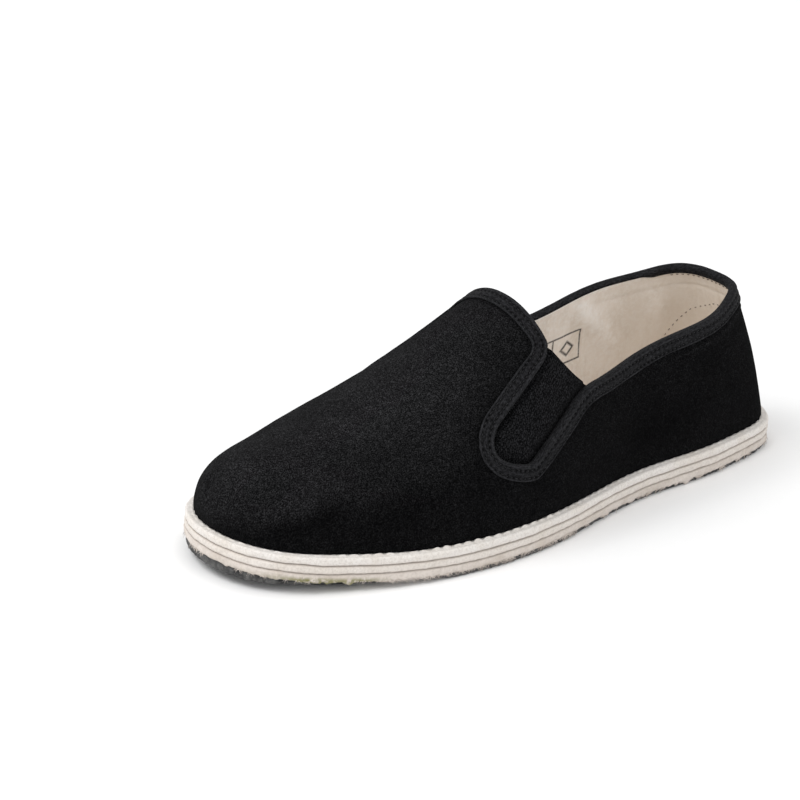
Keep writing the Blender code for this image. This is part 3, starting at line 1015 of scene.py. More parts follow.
    def normal(self, theta: Array, alpha: Array) -> Array:
        """Outward unit normals."""
        by_theta, by_alpha = self.slopes(*self.fold(theta, alpha))
        return unit(np.cross(by_alpha, by_theta))

    def lifted(self, angles: Array, height: Array | float) -> Array:
        """Points over or under the surface.

        Args:
            angles: Angles of the surface points.
            height: How far over it they lie, negative for under it.

        Returns:
            The points.
        """
        theta, alpha = angles[:, 0], angles[:, 1]
        height = np.broadcast_to(np.asarray(height, float), theta.shape)
        return self.point(theta, alpha) + height[:, None] * self.normal(theta, alpha)

    def flat(self, angles: Array) -> Array:
        """The surface laid out in a plane, for cutting, meshing and weaving.

        Args:
            angles: Angles of surface points.

        Returns:
            Their places in the plane.
        """
        theta, alpha = self.fold(angles[:, 0], angles[:, 1])
        foot, top = self.feet(theta)
        ray = foot - top
        size = np.linalg.norm(ray, axis=-1)
        reach = (size + 0.7 * self.ridge_height(top[..., 0])) * (1 - alpha / QUARTER)
        return top + ray * (reach / size)[..., None]

    def glide(self, angles: Array, goal: Array) -> Array:
        """Angles of the surface points nearest to some goals.

        Args:
            angles: Angles close by, to start from.
            goal: The points to come near to.

        Returns:
            The angles found.
        """
        theta, alpha = angles[:, 0], angles[:, 1]
        for _ in range(8):
            theta, alpha = self.fold(theta, alpha)
            miss = goal - self.point(theta, alpha)
            by_theta, by_alpha = self.slopes(theta, alpha)
            tt = (by_theta * by_theta).sum(-1)
            aa = (by_alpha * by_alpha).sum(-1)
            ta = (by_theta * by_alpha).sum(-1)
            mt, ma = (miss * by_theta).sum(-1), (miss * by_alpha).sum(-1)
            spread = tt * aa - ta * ta
            theta = theta + (mt * aa - ma * ta) / spread
            alpha = alpha + (ma * tt - mt * ta) / spread
        return np.stack(self.fold(theta, alpha), -1)

    def theta_for(self, foot_x: Array) -> Array:
        """Theta on the outer side whose seam point lies at foot_x."""
        along = np.clip((foot_x - self.heel_x) / (self.toe_x - self.heel_x), 0, 1)
        return np.interp(np.arccos(1 - 2 * along), self.turn, self.turn_theta)

    def foot_under(self, x: Array, section_out: Array) -> Array:
        """Seam station under a surface point that lies at x and section_out out."""
        far_in = 1 - section_out
        return (x - self.ridge_start * far_in) / (self.squeeze * far_in + section_out)

    def from_side(self, view: Array) -> Array:
        """Find points of the outer side from the side view.

        Args:
            view: X and Z of the points.

        Returns:
            Their angles.
        """
        x, z = view[:, 0], view[:, 1]
        up = np.clip((z - self.sole_top(x) - FIT) / self.ridge_height(x), 0, 1)
        foot_x = x
        for _ in range(20):
            power = self.fullness(np.clip(self.share(foot_x), 0, 1))
            out = (1 - up ** power) ** (1 / power)
            foot_x = self.foot_under(x, out)
        return np.stack([self.theta_for(foot_x), np.arctan2(up, out)], -1)

    def from_girth(self, x: Array, alpha: Array) -> Array:
        """Find points of the outer side on a girth of the foot.

        Args:
            x: Where the points lie.
            alpha: How far they have climbed.

        Returns:
            Their angles.
        """
        foot_x = x
        for _ in range(20):
            full = self.fullness(np.clip(self.share(foot_x), 0, 1))
            foot_x = self.foot_under(x, self.section(alpha, full)[0])
        return np.stack([self.theta_for(foot_x), alpha + 0 * foot_x], -1)

    def grid(self, spacing: float) -> Array:
        """Angles of points spread evenly over the whole surface.

        Args:
            spacing: About how far apart they are.

        Returns:
            Pairs of angles.
        """
        climbs = int(round(1.35 * self.instep_height / spacing))
        around = np.linspace(-np.pi, np.pi, 1441)
        rows = []
        for climb in range(1, climbs + 1):
            theta = around if climb < climbs else around[around >= 0]
            row = np.column_stack([theta, np.full_like(theta, QUARTER * climb / climbs)])
            points = self.point(row[:, 0], row[:, 1])
            total = arc_lengths(points)[-1]
            count = int(total / spacing)
            marks = (np.arange(count) + 0.5 * (climb % 2)) * total / count
            rows.append(resample(row, points, marks))
        return np.concatenate(rows)


@dataclass
class Opening:
    """The shoe's opening: collar, two side notches and the tab between them."""

    last: Last
    side_height: float = 0.0423
    inner_side_height: float = 0.0434
    notch_length: float = 0.0445
    notch_width: float = 0.0215
    notch_flare: float = 0.0008
    notch_lean: float = math.radians(33.5)
    foot_skew: float = 0.5
    mouth_station: float = 0.4925
    mouth_height: float = 0.684
    throat_station: float = 0.5285
    tab_bow: float = 0.0135
    lip_round: float = 0.010
    tab_round: float = 0.006
    step: float = 0.00066
    ease_reach: float = 0.008
    corners: dict[Side, tuple[Array, Array]] = field(default_factory=dict, init=False)

    def __post_init__(self) -> None:
        """Work out the loop, its points and its directions into the cloth."""
        last = self.last
        self.down = np.array([math.cos(self.notch_lean), -math.sin(self.notch_lean)])
        self.across = np.array([math.sin(self.notch_lean), math.cos(self.notch_lean)])
        height = last.sole_height + last.instep_height * self.mouth_height
        self.mouth = np.array([last.station_x(self.mouth_station), height])
        outer = self.spaced(self.half_path(Side.OUTER, self.side_height))
        inner = self.spaced(self.half_path(Side.INNER, self.inner_side_height))
        self.angles = np.concatenate([outer, inner[-2:0:-1] * (-1, 1)])
        self.points = last.point(self.angles[:, 0], self.angles[:, 1])
        self.inward = self.inward_directions()
        closed = np.concatenate([self.points, self.points[:1]])
        self.along = arc_lengths(closed)[:-1]
        self.total = arc_lengths(closed)[-1]

    def notch_point(self, along: Array, side: int) -> Array:
        """Points on a straight edge of the notch.

        Args:
            along: How far down the notch they lie.
            side: 1 for the edge ahead, -1 for the one behind.

        Returns:
            X and Z of each point.
        """
        flare = self.notch_flare * (1 - along / (self.notch_length - self.notch_width / 2))
        half = self.notch_width / 2 + (flare if side > 0 else 0 * flare)
        return self.mouth + np.outer(along, self.down) + np.outer(side * half, self.across)

    def notch_foot(self) -> Array:
        """Round foot of the notch, fuller toward the toe.

        Returns:
            X and Z of its points.
        """
        turn = np.linspace(-QUARTER, QUARTER, 90)
        half = self.notch_width / 2
        deep = half * np.cos(turn) * (1 + self.foot_skew * np.sin(turn))
        along = self.notch_length - half + deep
        return self.mouth + np.outer(along, self.down) + np.outer(half * np.sin(turn), self.across)

    def collar_path(self, theta_end: float, side_height: float) -> Array:
        """The collar from the back of the heel forward, on the outer side.

        Args:
            theta_end: Where it ends.
            side_height: How tall it is beside the foot.

        Returns:
            Its angles.
        """
        theta = np.linspace(0, theta_end, 400)
        low, high = np.zeros_like(theta), np.full_like(theta, QUARTER)
        for _ in range(40):
            alpha = (low + high) / 2
            point = self.last.point(theta, alpha)
            above = point[:, 2] > self.last.collar_height(point[:, 0], side_height)
            low, high = np.where(above, low, alpha), np.where(above, alpha, high)
        return np.stack([theta, (low + high) / 2], -1)

    def trim(self, angles: Array, start: float, end: float) -> Array:
        """Shorten a path.

        Args:
            angles: The path.
            start: Length cut off its beginning.
            end: Length cut off its far end.

        Returns:
            The rest of the path.
        """
        points = self.last.point(angles[:, 0], angles[:, 1])
        total = arc_lengths(points)[-1]
        return resample(angles, points, np.linspace(start, total - end, len(angles)))

    def half_path(self, side: Side, side_height: float) -> Array:
        """Angles of one half of the loop, from the heel to the ridge.

        Args:
            side: Which half, whose corners are kept.
            side_height: How tall the collar is beside the foot.

        Returns:
            Angles as if the half were on the outer side.
        """
        last = self.last
        straight = np.linspace(-self.notch_length / 2, self.notch_length - self.notch_width / 2, 300)
        behind = self.notch_point(straight, -1)
        below = behind[:, 1] < last.collar_height(behind[:, 0], side_height)
        behind = behind[np.argmax(below):]
        side_view = np.concatenate([behind, self.notch_foot()[1:-1]])
        ahead = self.notch_point(straight[::-1], 1)
        tab_alpha = np.linspace(0.5, 1, 200) * QUARTER
        tab_x = last.station_x(self.throat_station) - self.tab_bow * (1 - np.sin(tab_alpha))
        tab = last.from_girth(tab_x, tab_alpha)
        tab_points = last.point(tab[:, 0], tab[:, 1])
        ahead = ahead[ahead[:, 0] > np.interp(ahead[:, 1], tab_points[:, 2], tab_points[:, 0])]
        tab = tab[tab_points[:, 2] > ahead[-1, 1]]
        self.corners[side] = behind[0], ahead[-1]
        notch = last.from_side(np.concatenate([side_view, ahead]))
        collar = self.collar_path(notch[0, 0], side_height)
        lip, corner = notch[0], notch[-1]
        collar = self.trim(collar, 0, self.lip_round)
        notch = self.trim(notch, self.lip_round, self.tab_round)
        tab = self.trim(tab, self.tab_round, 0)
        u = np.linspace(0, 1, 14)[1:-1, None]
        lip_turn = (1 - u) ** 2 * collar[-1] + 2 * u * (1 - u) * lip + u ** 2 * notch[0]
        tab_turn = (1 - u) ** 2 * notch[-1] + 2 * u * (1 - u) * corner + u ** 2 * tab[0]
        return np.concatenate([collar, lip_turn, notch, tab_turn, tab])

    def spaced(self, path: Array) -> Array:
        """Space a path's points evenly, about one step apart.

        Args:
            path: The path's angles.

        Returns:
            The new angles.
        """
        points = self.last.point(path[:, 0], path[:, 1])
        total = arc_lengths(points)[-1]
        return resample(path, points, np.linspace(0, total, int(round(total / self.step)) + 1))

    def inward_directions(self) -> Array:
        """Directions from the edge into the cloth, eased at the corners.

        Returns:
            A unit direction for each point of the loop.
        """
        normal = self.last.normal(self.angles[:, 0], self.angles[:, 1])
        tangent = np.roll(self.points, -1, 0) - np.roll(self.points, 1, 0)
        inward = unit(np.cross(normal, tangent))
        for _ in range(int(2 * (self.ease_reach / self.step) ** 2)):
            inward = unit(np.roll(inward, 1, 0) + 2 * inward + np.roll(inward, -1, 0))
        return inward

    def row(self, distance: Array | float) -> Array:
        """Angles of the points at a distance from the edge: into the cloth if positive."""
        goal = self.points + np.asarray(distance)[..., None] * self.inward
        return self.last.glide(self.angles, goal)

    def nearest(self, corner: Array, side: Side) -> int:
        """Find the loop's point nearest to a corner.

        Args:
            corner: X and Z of the corner.
            side: On which side to look.

        Returns:
            The point's index.
        """
        other_side = np.where(self.angles[:, 0] * side.value > 0, 0.0, self.last.length)
        gap = np.linalg.norm(self.points[:, (0, 2)] - corner, axis=1)
        return int(np.argmin(gap + other_side))


@dataclass
class Patch:
    """A stretch of cloth on the last: points by their angles, triangles and edge loops."""

    last: Last
    angles: Array
    triangles: Array
    loops: list[list[int]]

    @classmethod
    def cut(cls, last: Last, borders: Sequence[Array], rows: Sequence[Array], spacing: float,
            keep: Callable[[Array], Array]) -> "Patch":
        """Cut a patch and lay an even mesh over it.

        Args:
            last: The form it lies on.
            borders: Angles of each closed edge.
            rows: Angles of further points that the mesh is to have.
            spacing: About how far apart its inner points are.
            keep: Whether points of the plane lay-out belong to the patch.

        Returns:
            The patch.
        """
        fixed = np.concatenate([*borders, *rows])
        grid = last.grid(spacing)
        grid = grid[keep(last.flat(grid))]
        places = last.point(grid[:, 0], grid[:, 1])
        free = distances(places, last.point(fixed[:, 0], fixed[:, 1])) > 0.6 * spacing
        angles = np.concatenate([fixed, grid[free]])
        loops, start = [], 0
        for border in borders:
            loops.append(list(range(start, start + len(border))))
            start += len(border)
        flat = last.flat(angles)
        edges = [(a, b) for loop in loops for a, b in zip(loop, loop[1:] + loop[:1])]
        found = delaunay_2d_cdt([Vector(spot) for spot in flat], edges, [], 0, 1e-7)
        origin = np.array([source[0] for source in found[3]])
        triangles = origin[np.array(found[2])]
        triangles = triangles[keep(flat[triangles].mean(1))]
        return cls(last, angles, triangles, loops)

    def solid(self, top: Array | float, bottom: Array | float) -> tuple[Array, list[Array]]:
        """Corners and faces of the patch made solid.

        Args:
            top: Height of its outer face over the last.
            bottom: Height of its inner face.

        Returns:
            Corners, and arrays of triangles and quads.
        """
        count = len(self.angles)
        corners = np.concatenate([self.last.lifted(self.angles, top),
                                  self.last.lifted(self.angles, bottom)])
        rims = []
        for loop in self.loops:
            here, ahead = np.array(loop), np.roll(loop, -1)
            rims.append(np.stack([here, ahead, ahead + count, here + count], -1))
        return corners, [self.triangles, self.triangles[:, ::-1] + count, *rims]

    def twice(self, value: Array) -> Array:
        """Values of the patch's points, for its outer and its inner face."""
        return np.concatenate([value, value])

    def weave(self) -> Array:
        """Places in the cloth's own plane, for the material."""
        return self.twice(np.column_stack([self.last.flat(self.angles), 0 * self.angles[:, 0]]))


@dataclass(frozen=True)
class Fold:
    """A soft ridge or trough on the upper, from one side view place to another.

    The places are X and Z on one side. Height is over the cloth: negative for a trough.
    """

    start: tuple[float, float]
    end: tuple[float, float]
    side: Side
    height: float
    width: float
    bow: float = 0.0

    def relief(self, last: Last, points: Array) -> Array:
        """How far the fold lifts each point.

        Args:
            last: The form that it lies on.
            points: Points of the last.

        Returns:
            A height for each point.
        """
        u = np.linspace(0, 1, 24)[:, None]
        view = np.array(self.start) * (1 - u) + np.array(self.end) * u
        run = np.array(self.end) - np.array(self.start)
        across = np.array([-run[1], run[0]]) / np.linalg.norm(run)
        view = view + across * self.bow * 4 * u * (1 - u)
        angles = last.from_side(view) * (self.side.value, 1)
        line = last.point(angles[:, 0], angles[:, 1])
        gap = np.linalg.norm(points[:, None, :] - line[None, :, :], axis=2)
        near = gap.argmin(1)
        ends = np.sin(np.pi * np.clip((near + 1.5) / (len(line) + 2), 0, 1)) ** 0.6
        return self.height * ends * np.exp(-(gap.min(1) / self.width) ** 2)


@dataclass
class StitchRun:
    """A row of short thread stitches that lie along a path."""

    name: str
    thread: Thread
    length: float = 0.0018
    radius: float = 0.00017
    sink: float = 0.0003
    rings: int = 7
    sides: int = 6

    def mesh(self, places: Array, along: Array, up: Array) -> tuple[Array, list[Array], Array]:
        """Corners and faces of the stitches.

        Args:
            places: Middle of each stitch, on the cloth.
            along: Unit direction of each stitch.
            up: Unit direction away from the cloth.

        Returns:
            Corners, faces, and a cloth place for each corner.
        """
        u = np.linspace(-1, 1, self.rings)
        turn = np.linspace(0, 2 * np.pi, self.sides, endpoint=False)
        side = np.cross(along, up)
        thick = self.radius * np.sqrt(np.clip(1 - 0.8 * np.abs(u) ** 3, 0.05, 1))
        lift = self.radius * 0.7 - self.sink * np.abs(u) ** 2.5
        spine = (places[:, None] + along[:, None] * (u * self.length / 2)[:, None]
                 + up[:, None] * lift[:, None])
        around = (side[:, None, None] * np.cos(turn)[:, None]
                  + up[:, None, None] * np.sin(turn)[:, None])
        corners = spine[:, :, None] + around * thick[:, None, None]
        count, per = len(places), self.rings * self.sides
        base = (np.arange(count) * per)[:, None, None]
        quads = (ring_faces(self.rings, self.sides)[None] + base).reshape(-1, 4)
        fan = np.array([(0, k, k + 1) for k in range(1, self.sides - 1)])
        caps = [(fan[None] + base).reshape(-1, 3),
                (fan[None, :, ::-1] + base + per - self.sides).reshape(-1, 3)]
        lengths = np.tile(np.repeat(u * self.length / 2, self.sides), count)
        turns = np.tile(turn / (2 * np.pi), count * self.rings)
        return corners.reshape(-1, 3), [quads, *caps], np.column_stack([lengths, turns, 0 * turns])

    def build(self, rows: Sequence[tuple[Array, Array, Array]], slot: Slot) -> bpy.types.Object:
        """Build all the rows as one piece.

        Args:
            rows: Places, directions along and directions up of each row.
            slot: Its material slot.

        Returns:
            The piece.
        """
        corners, faces, cloth, base = [], [], [], 0
        for places, along, up in rows:
            spots, parts, weave = self.mesh(places, along, up)
            corners.append(spots)
            cloth.append(weave)
            faces += [part + base for part in parts]
            base += len(spots)
        piece = make_piece(self.name, np.concatenate(corners), faces, self.thread.material(),
                           {"cloth": np.concatenate(cloth)})
        return seat(piece, slot)


def stitches_on(last: Last, angles: Array, height: Array | float, pitch: float
                ) -> tuple[Array, Array, Array]:
    """Places and directions of stitches along a path on the last.

    Args:
        last: The form.
        angles: The path's angles.
        height: Height of the cloth there over the last.
        pitch: Distance from one stitch to the next.

    Returns:
        Places, directions along the path and directions away from the cloth.
    """
    points = last.lifted(angles, height)
    lengths = arc_lengths(points)
    marks = (np.arange(int(lengths[-1] / pitch)) + 0.5) * pitch
    places = np.stack([np.interp(marks, lengths, column) for column in points.T], -1)
    ahead = np.stack([np.interp(marks + pitch / 4, lengths, column) for column in points.T], -1)
    middle = resample(angles, points, marks)
    return places, unit(ahead - places), last.normal(middle[:, 0], middle[:, 1])


# The upper


# Outline of the heel's stiffener on the inner side, from the middle of the heel down
COUNTER = (
    # x, y, z
    (-0.1160, 0.0005, 0.0545),
    (-0.1157, 0.0045, 0.0535),
    (-0.1141, 0.0150, 0.0481),
    (-0.1120, 0.0188, 0.0435),
    (-0.1099, 0.0207, 0.0398),
    (-0.1060, 0.0245, 0.0320),
    (-0.1010, 0.0275, 0.0235),
)


@dataclass
class Upper:
    """Canvas outside and cotton lining inside, sewn into one hollow wall."""

    last: Last
    opening: Opening
    canvas_thickness: float = 0.0009
    wall: float = 0.0016
    grid: float = 0.00165
    seam_step: float = 0.0012
    seam_rows: tuple[float, ...] = (0.0, 0.0007, 0.0015, 0.0026)
    cloth_gap: float = 0.00005
    thread_gap: float = 0.0001
    hollow_limit: float = 0.00045
    counter_pitch: float = 0.0025
    hem_pitch: float = 0.0022
    tuck: float = 0.0006
    tape_width: float = 0.0052
    row_places: tuple[float, ...] = (0.0006, 0.0012, 0.0026, 0.0040, 0.0054, 0.0066, 0.0075,
                                     0.0081, 0.0087)
    heel_lines: tuple[float, ...] = (-0.022, -0.013, -0.006, 0.0, 0.006, 0.013, 0.022)
    facing_seam: float = 0.0081
    hem: float = 0.0030
    hem_start: float = -0.103
    # The way the painted light falls on the canvas; cloth turned away from it gets painted shade.
    nap: tuple[float, float, float] = (0.45, -0.35, 0.80)
    stamp_middle: tuple[float, float] = (-0.0520, 0.0370)
    stamp_lean: float = math.radians(5)
    lining_folds: tuple[Fold, ...] = (
        Fold((-0.0640, 0.0600), (-0.0930, 0.0380), Side.INNER, -0.0004, 0.0040),
        Fold((-0.0600, 0.0580), (-0.0860, 0.0360), Side.INNER, 0.0016, 0.0042),
        Fold((-0.0540, 0.0540), (-0.0740, 0.0340), Side.INNER, -0.0007, 0.0050),
        Fold((-0.0980, 0.0600), (-0.1040, 0.0420), Side.INNER, 0.0007, 0.0040),
    )
    folds: tuple[Fold, ...] = (
        Fold((0.1290, 0.0215), (0.0970, 0.0310), Side.OUTER, -0.0014, 0.0034, 0.0010),
        Fold((0.1290, 0.0272), (0.0960, 0.0372), Side.OUTER, 0.0010, 0.0036, 0.0010),
        Fold((0.1310, 0.0230), (0.1290, 0.0262), Side.OUTER, -0.0008, 0.0022),
        Fold((0.1310, 0.0280), (0.1265, 0.0335), Side.INNER, -0.0011, 0.0034),
        Fold((0.0980, 0.0230), (0.0660, 0.0290), Side.OUTER, -0.0006, 0.0080),
        Fold((-0.0300, 0.0230), (-0.0750, 0.0300), Side.OUTER, -0.0007, 0.0090),
    )

    def __post_init__(self) -> None:
        """Cut the cloth."""
        last, opening = self.last, self.opening
        theta = self.even_theta(self.seam_step)
        feather = [np.stack([theta, self.climb(theta, height)], -1) for height in self.seam_rows]
        edge = opening.angles[::2]
        rows = [opening.row(distance)[::2] for distance in self.row_places]
        rows += [self.upright(theta) for theta in self.heel_lines]
        hole = last.flat(edge)
        rim = last.flat(feather[0])

        def keep(spots: Array) -> Array:
            """Whether spots of the lay-out lie between the seam and the opening."""
            return inside(spots, rim) & ~inside(spots, hole)

        self.patch = Patch.cut(last, [feather[0], edge], [*feather[1:], *rows], self.grid, keep)
        angles = self.patch.angles
        self.points = last.point(angles[:, 0], angles[:, 1])
        self.from_edge = distances(self.points, opening.points)
        self.above_sole = self.points[:, 2] - last.sole_top(self.points[:, 0]) - FIT
        self.lift = self.relief()

    def even_theta(self, spacing: float) -> Array:
        """Space points evenly round the seam.

        Args:
            spacing: About how far apart they are.

        Returns:
            Their theta.
        """
        theta, lengths = self.last.seam_lengths()
        count = int(round(lengths[-1] / spacing))
        return np.interp(np.arange(count) * lengths[-1] / count, lengths, theta)

    def upright(self, theta: float) -> Array:
        """A line that climbs the heel, from the sole to near the collar.

        Args:
            theta: Where it stands.

        Returns:
            Its angles.
        """
        top = self.opening.angles[0, 1]
        alpha = np.linspace(0.10 * top, 0.80 * top, 60)
        return np.column_stack([np.full(60, theta), alpha])

    def climb(self, theta: Array, height: float) -> Array:
        """Alpha at which the surface has climbed a small height over the seam."""
        foot = self.last.outline(theta, self.last.ledge)
        return height / self.last.ridge_height(foot[:, 0]) + 0 * theta

    def relief(self) -> Array:
        """Folds and waves of the canvas, its seams and the tuck over each sole stitch.

        Returns:
            Height over the last at each point.
        """
        self.creases = sum(fold.relief(self.last, self.points) for fold in self.folds)
        lift = self.creases.copy()
        lift += 0.00030 * cloudy(self.points, 0.030, 1.0)
        lift += 0.00010 * cloudy(self.points, 0.009, 2.0)
        lift *= ease(self.from_edge, self.tape_width * 0.6, self.tape_width + 0.007)
        lift *= ease(self.above_sole, 0.0, 0.006)
        lift += 0.00035 * self.facing()
        lift += 0.00030 * self.heel_seam(0.0010) * ease(self.from_edge, 0.004, 0.007)
        phase = self.last.stitch_phase(self.patch.angles[:, 0])
        deep = 0.35 + 0.65 * np.abs(np.cos(phase)) ** 3
        lift -= self.tuck * deep * (1 - ease(self.above_sole, 0.0, 0.0030))
        return lift

    def facing(self) -> Array:
        """How near each point is to the seam below the collar's tape, from 0 to 1."""
        behind = 1 - ease(self.points[:, 0], -0.080, -0.050)
        return behind * np.exp(-((self.from_edge - self.facing_seam) / 0.0006) ** 2)

    def canvas_shade(self) -> Array:
        """Painted shade of the canvas: darker where the cloth faces away from the painted light, low
        by the sole, toward the back, beside the tape and in fold troughs.

        Returns:
            A painted shade for each point, negative for painted highlights such as on fold ridges
            and on the seam below the collar's tape.
        """
        # Painted shade low by the sole, toward the back and beside the tape.
        low = 1 - ease(self.above_sole, 0.0, 0.010)
        back = 1 - ease(self.points[:, 0], -0.04, 0.075)
        beside_tape = np.exp(-((self.from_edge - self.tape_width) / 0.0009) ** 2)
        # How far the cloth faces the painted light: cloth turned away gets painted shade.
        facing_painted_light = self.last.normal(*self.patch.angles.T) @ unit(np.array(self.nap))
        steep = (1 - np.clip(facing_painted_light, 0, 1)) ** 1.2 - 0.03
        shade = 0.20 * low + steep + 0.40 * back + 0.5 * beside_tape - 0.12
        # Painted shadow in fold troughs, painted highlight on fold ridges and on the seam below the
        # collar's tape.
        shade = np.clip(shade, -0.5, 0.70) - self.creases / 0.0050 - 0.5 * self.facing()
        return np.clip(shade, -0.8, 0.84)

    def canvas(self) -> bpy.types.Object:
        """Build the canvas.

        Returns:
            The piece.
        """
        top = self.lift
        corners, faces = self.patch.solid(top, top - self.canvas_thickness)
        # The shade numbers carry the canvas's painted shade and highlight.
        values = {"cloth": self.patch.weave(), "shade": self.patch.twice(self.canvas_shade())}
        piece = make_piece("canvas_upper", corners, faces, Canvas().material(), values)
        return seat(piece, Slot.CANVAS, "upper")

    def lining(self) -> bpy.types.Object:
        """Build the cotton lining, with its hollows, its seam at the heel, its stamp, and its
        painted shade and highlight.

        Returns:
            The piece.
        """
        points = self.points
        outer = self.lift - self.canvas_thickness - self.cloth_gap
        bulge = 0.00035 * cloudy(points, 0.021, 5.0) + 0.00008 * cloudy(points, 0.006, 6.0)
        for fold in self.lining_folds:
            bulge += fold.relief(self.last, points)
        bulge += 0.00035 * self.heel_seam(0.0011)
        bulge *= ease(self.from_edge, 0.001, 0.006) * ease(self.above_sole, 0.001, 0.006)
        inner = self.lift - self.wall - np.maximum(bulge, -self.hollow_limit)
        corners, faces = self.patch.solid(outer, inner)
        # Painted shade deeper toward the heel and in hollows, painted highlight on fold ridges and
        # along the edge under the tape; the heel's seam shows as a darker line.
        back = 1 - ease(points[:, 0], -0.115, -0.055)
        rim = np.exp(-((self.from_edge - 0.0009) / 0.0008) ** 2)
        shade = 0.95 * back + 0.6 * self.heel_seam(0.0008) - rim - bulge / 0.0022
        shade = np.clip(shade, -0.8, 1.45)
        values = {"cloth": self.patch.weave(), "shade": self.patch.twice(shade),
                  "stamp": self.patch.twice(self.stamp_places())}
        piece = make_piece("cotton_lining", corners, faces, LiningCloth().material(), values)
        return seat(piece, Slot.LINING, "upper")

    def counter_stitches(self) -> bpy.types.Object:
        """Build the stitches that hold the stiffener at the heel, seen on the lining.

        Returns:
            The piece.
        """
        half = np.array(COUNTER)
        face = -self.wall - self.thread_gap
        rows = []
        for side in Side:
            goal = half * (1, side.value, 1) - (0, self.last.shift, 0)
            start = self.last.from_side(goal[:, (0, 2)]) * (side.value, 1)
            angles = self.last.glide(start, goal)
            fine = np.linspace(0, len(angles) - 1, 80)
            path = np.stack([np.interp(fine, np.arange(len(angles)), part) for part in angles.T], -1)
            places, along, up = stitches_on(self.last, path, face, self.counter_pitch)
            rows.append((places, along, -up))
        beside = self.opening.row(self.hem)
        heelward = np.roll(beside, len(beside) // 2, axis=0)
        heelward = heelward[self.last.point(*heelward.T)[:, 0] < self.hem_start]
        places, along, up = stitches_on(self.last, heelward, face, self.hem_pitch)
        rows.append((places, along, -up))
        run = StitchRun("counter_stitches", Thread("lining_thread", (0.34, 0.285, 0.235)),
                        length=0.0011, radius=0.00020)
        return run.build(rows, Slot.LINING)

    def heel_seam(self, width: float) -> Array:
        """How near each point is to the seam down the back of the heel, from 0 to 1."""
        behind = 1 - ease(self.points[:, 0], -0.118, -0.108)
        return behind * np.exp(-((self.points[:, 1] + self.last.shift) / width) ** 2)

    def stamp_places(self) -> Array:
        """Places on the stamp, far off it on the outer side.

        Returns:
            How far across and up from its middle each point lies, and whether it is off it.
        """
        view = self.points[:, (0, 2)] - np.array(self.stamp_middle)
        c, s = math.cos(self.stamp_lean), math.sin(self.stamp_lean)
        across, up = -view[:, 0] * c + view[:, 1] * s, view[:, 0] * s + view[:, 1] * c
        far = np.where(self.points[:, 1] < 0, 0.0, 1.0)
        return np.column_stack([across + far, up, far])


# Profile of the folded tape, from its outer edge over the fold to its inner edge and back
TAPE_PROFILE = (
    # millimetres into the cloth, millimetres over the last
    (5.20, 0.28),
    (5.27, 0.52),
    (5.22, 0.80),
    (5.02, 1.01),
    (4.72, 1.06),
    (4.42, 0.99),
    (4.10, 0.90),
    (3.70, 0.90),
    (3.20, 0.97),
    (2.60, 1.01),
    (2.00, 0.98),
    (1.60, 0.92),
    (1.25, 0.88),
    (0.90, 0.93),
    (0.50, 1.05),
    (0.10, 1.09),
    (-0.35, 1.02),
    (-0.75, 0.78),
    (-0.98, 0.40),
    (-1.05, -0.20),
    (-1.05, -1.10),
    (-1.02, -1.75),
    (-0.82, -2.25),
    (-0.40, -2.53),
    (0.05, -2.58),
    (0.60, -2.55),
    (1.20, -2.50),
    (1.45, -2.32),
    (1.50, -2.05),
    (1.30, -1.90),
    (0.50, -1.90),
    (-0.15, -1.86),
    (-0.32, -1.55),
    (-0.32, -0.10),
    (-0.15, 0.24),
    (0.60, 0.28),
    (2.60, 0.28),
    (4.40, 0.28),
)


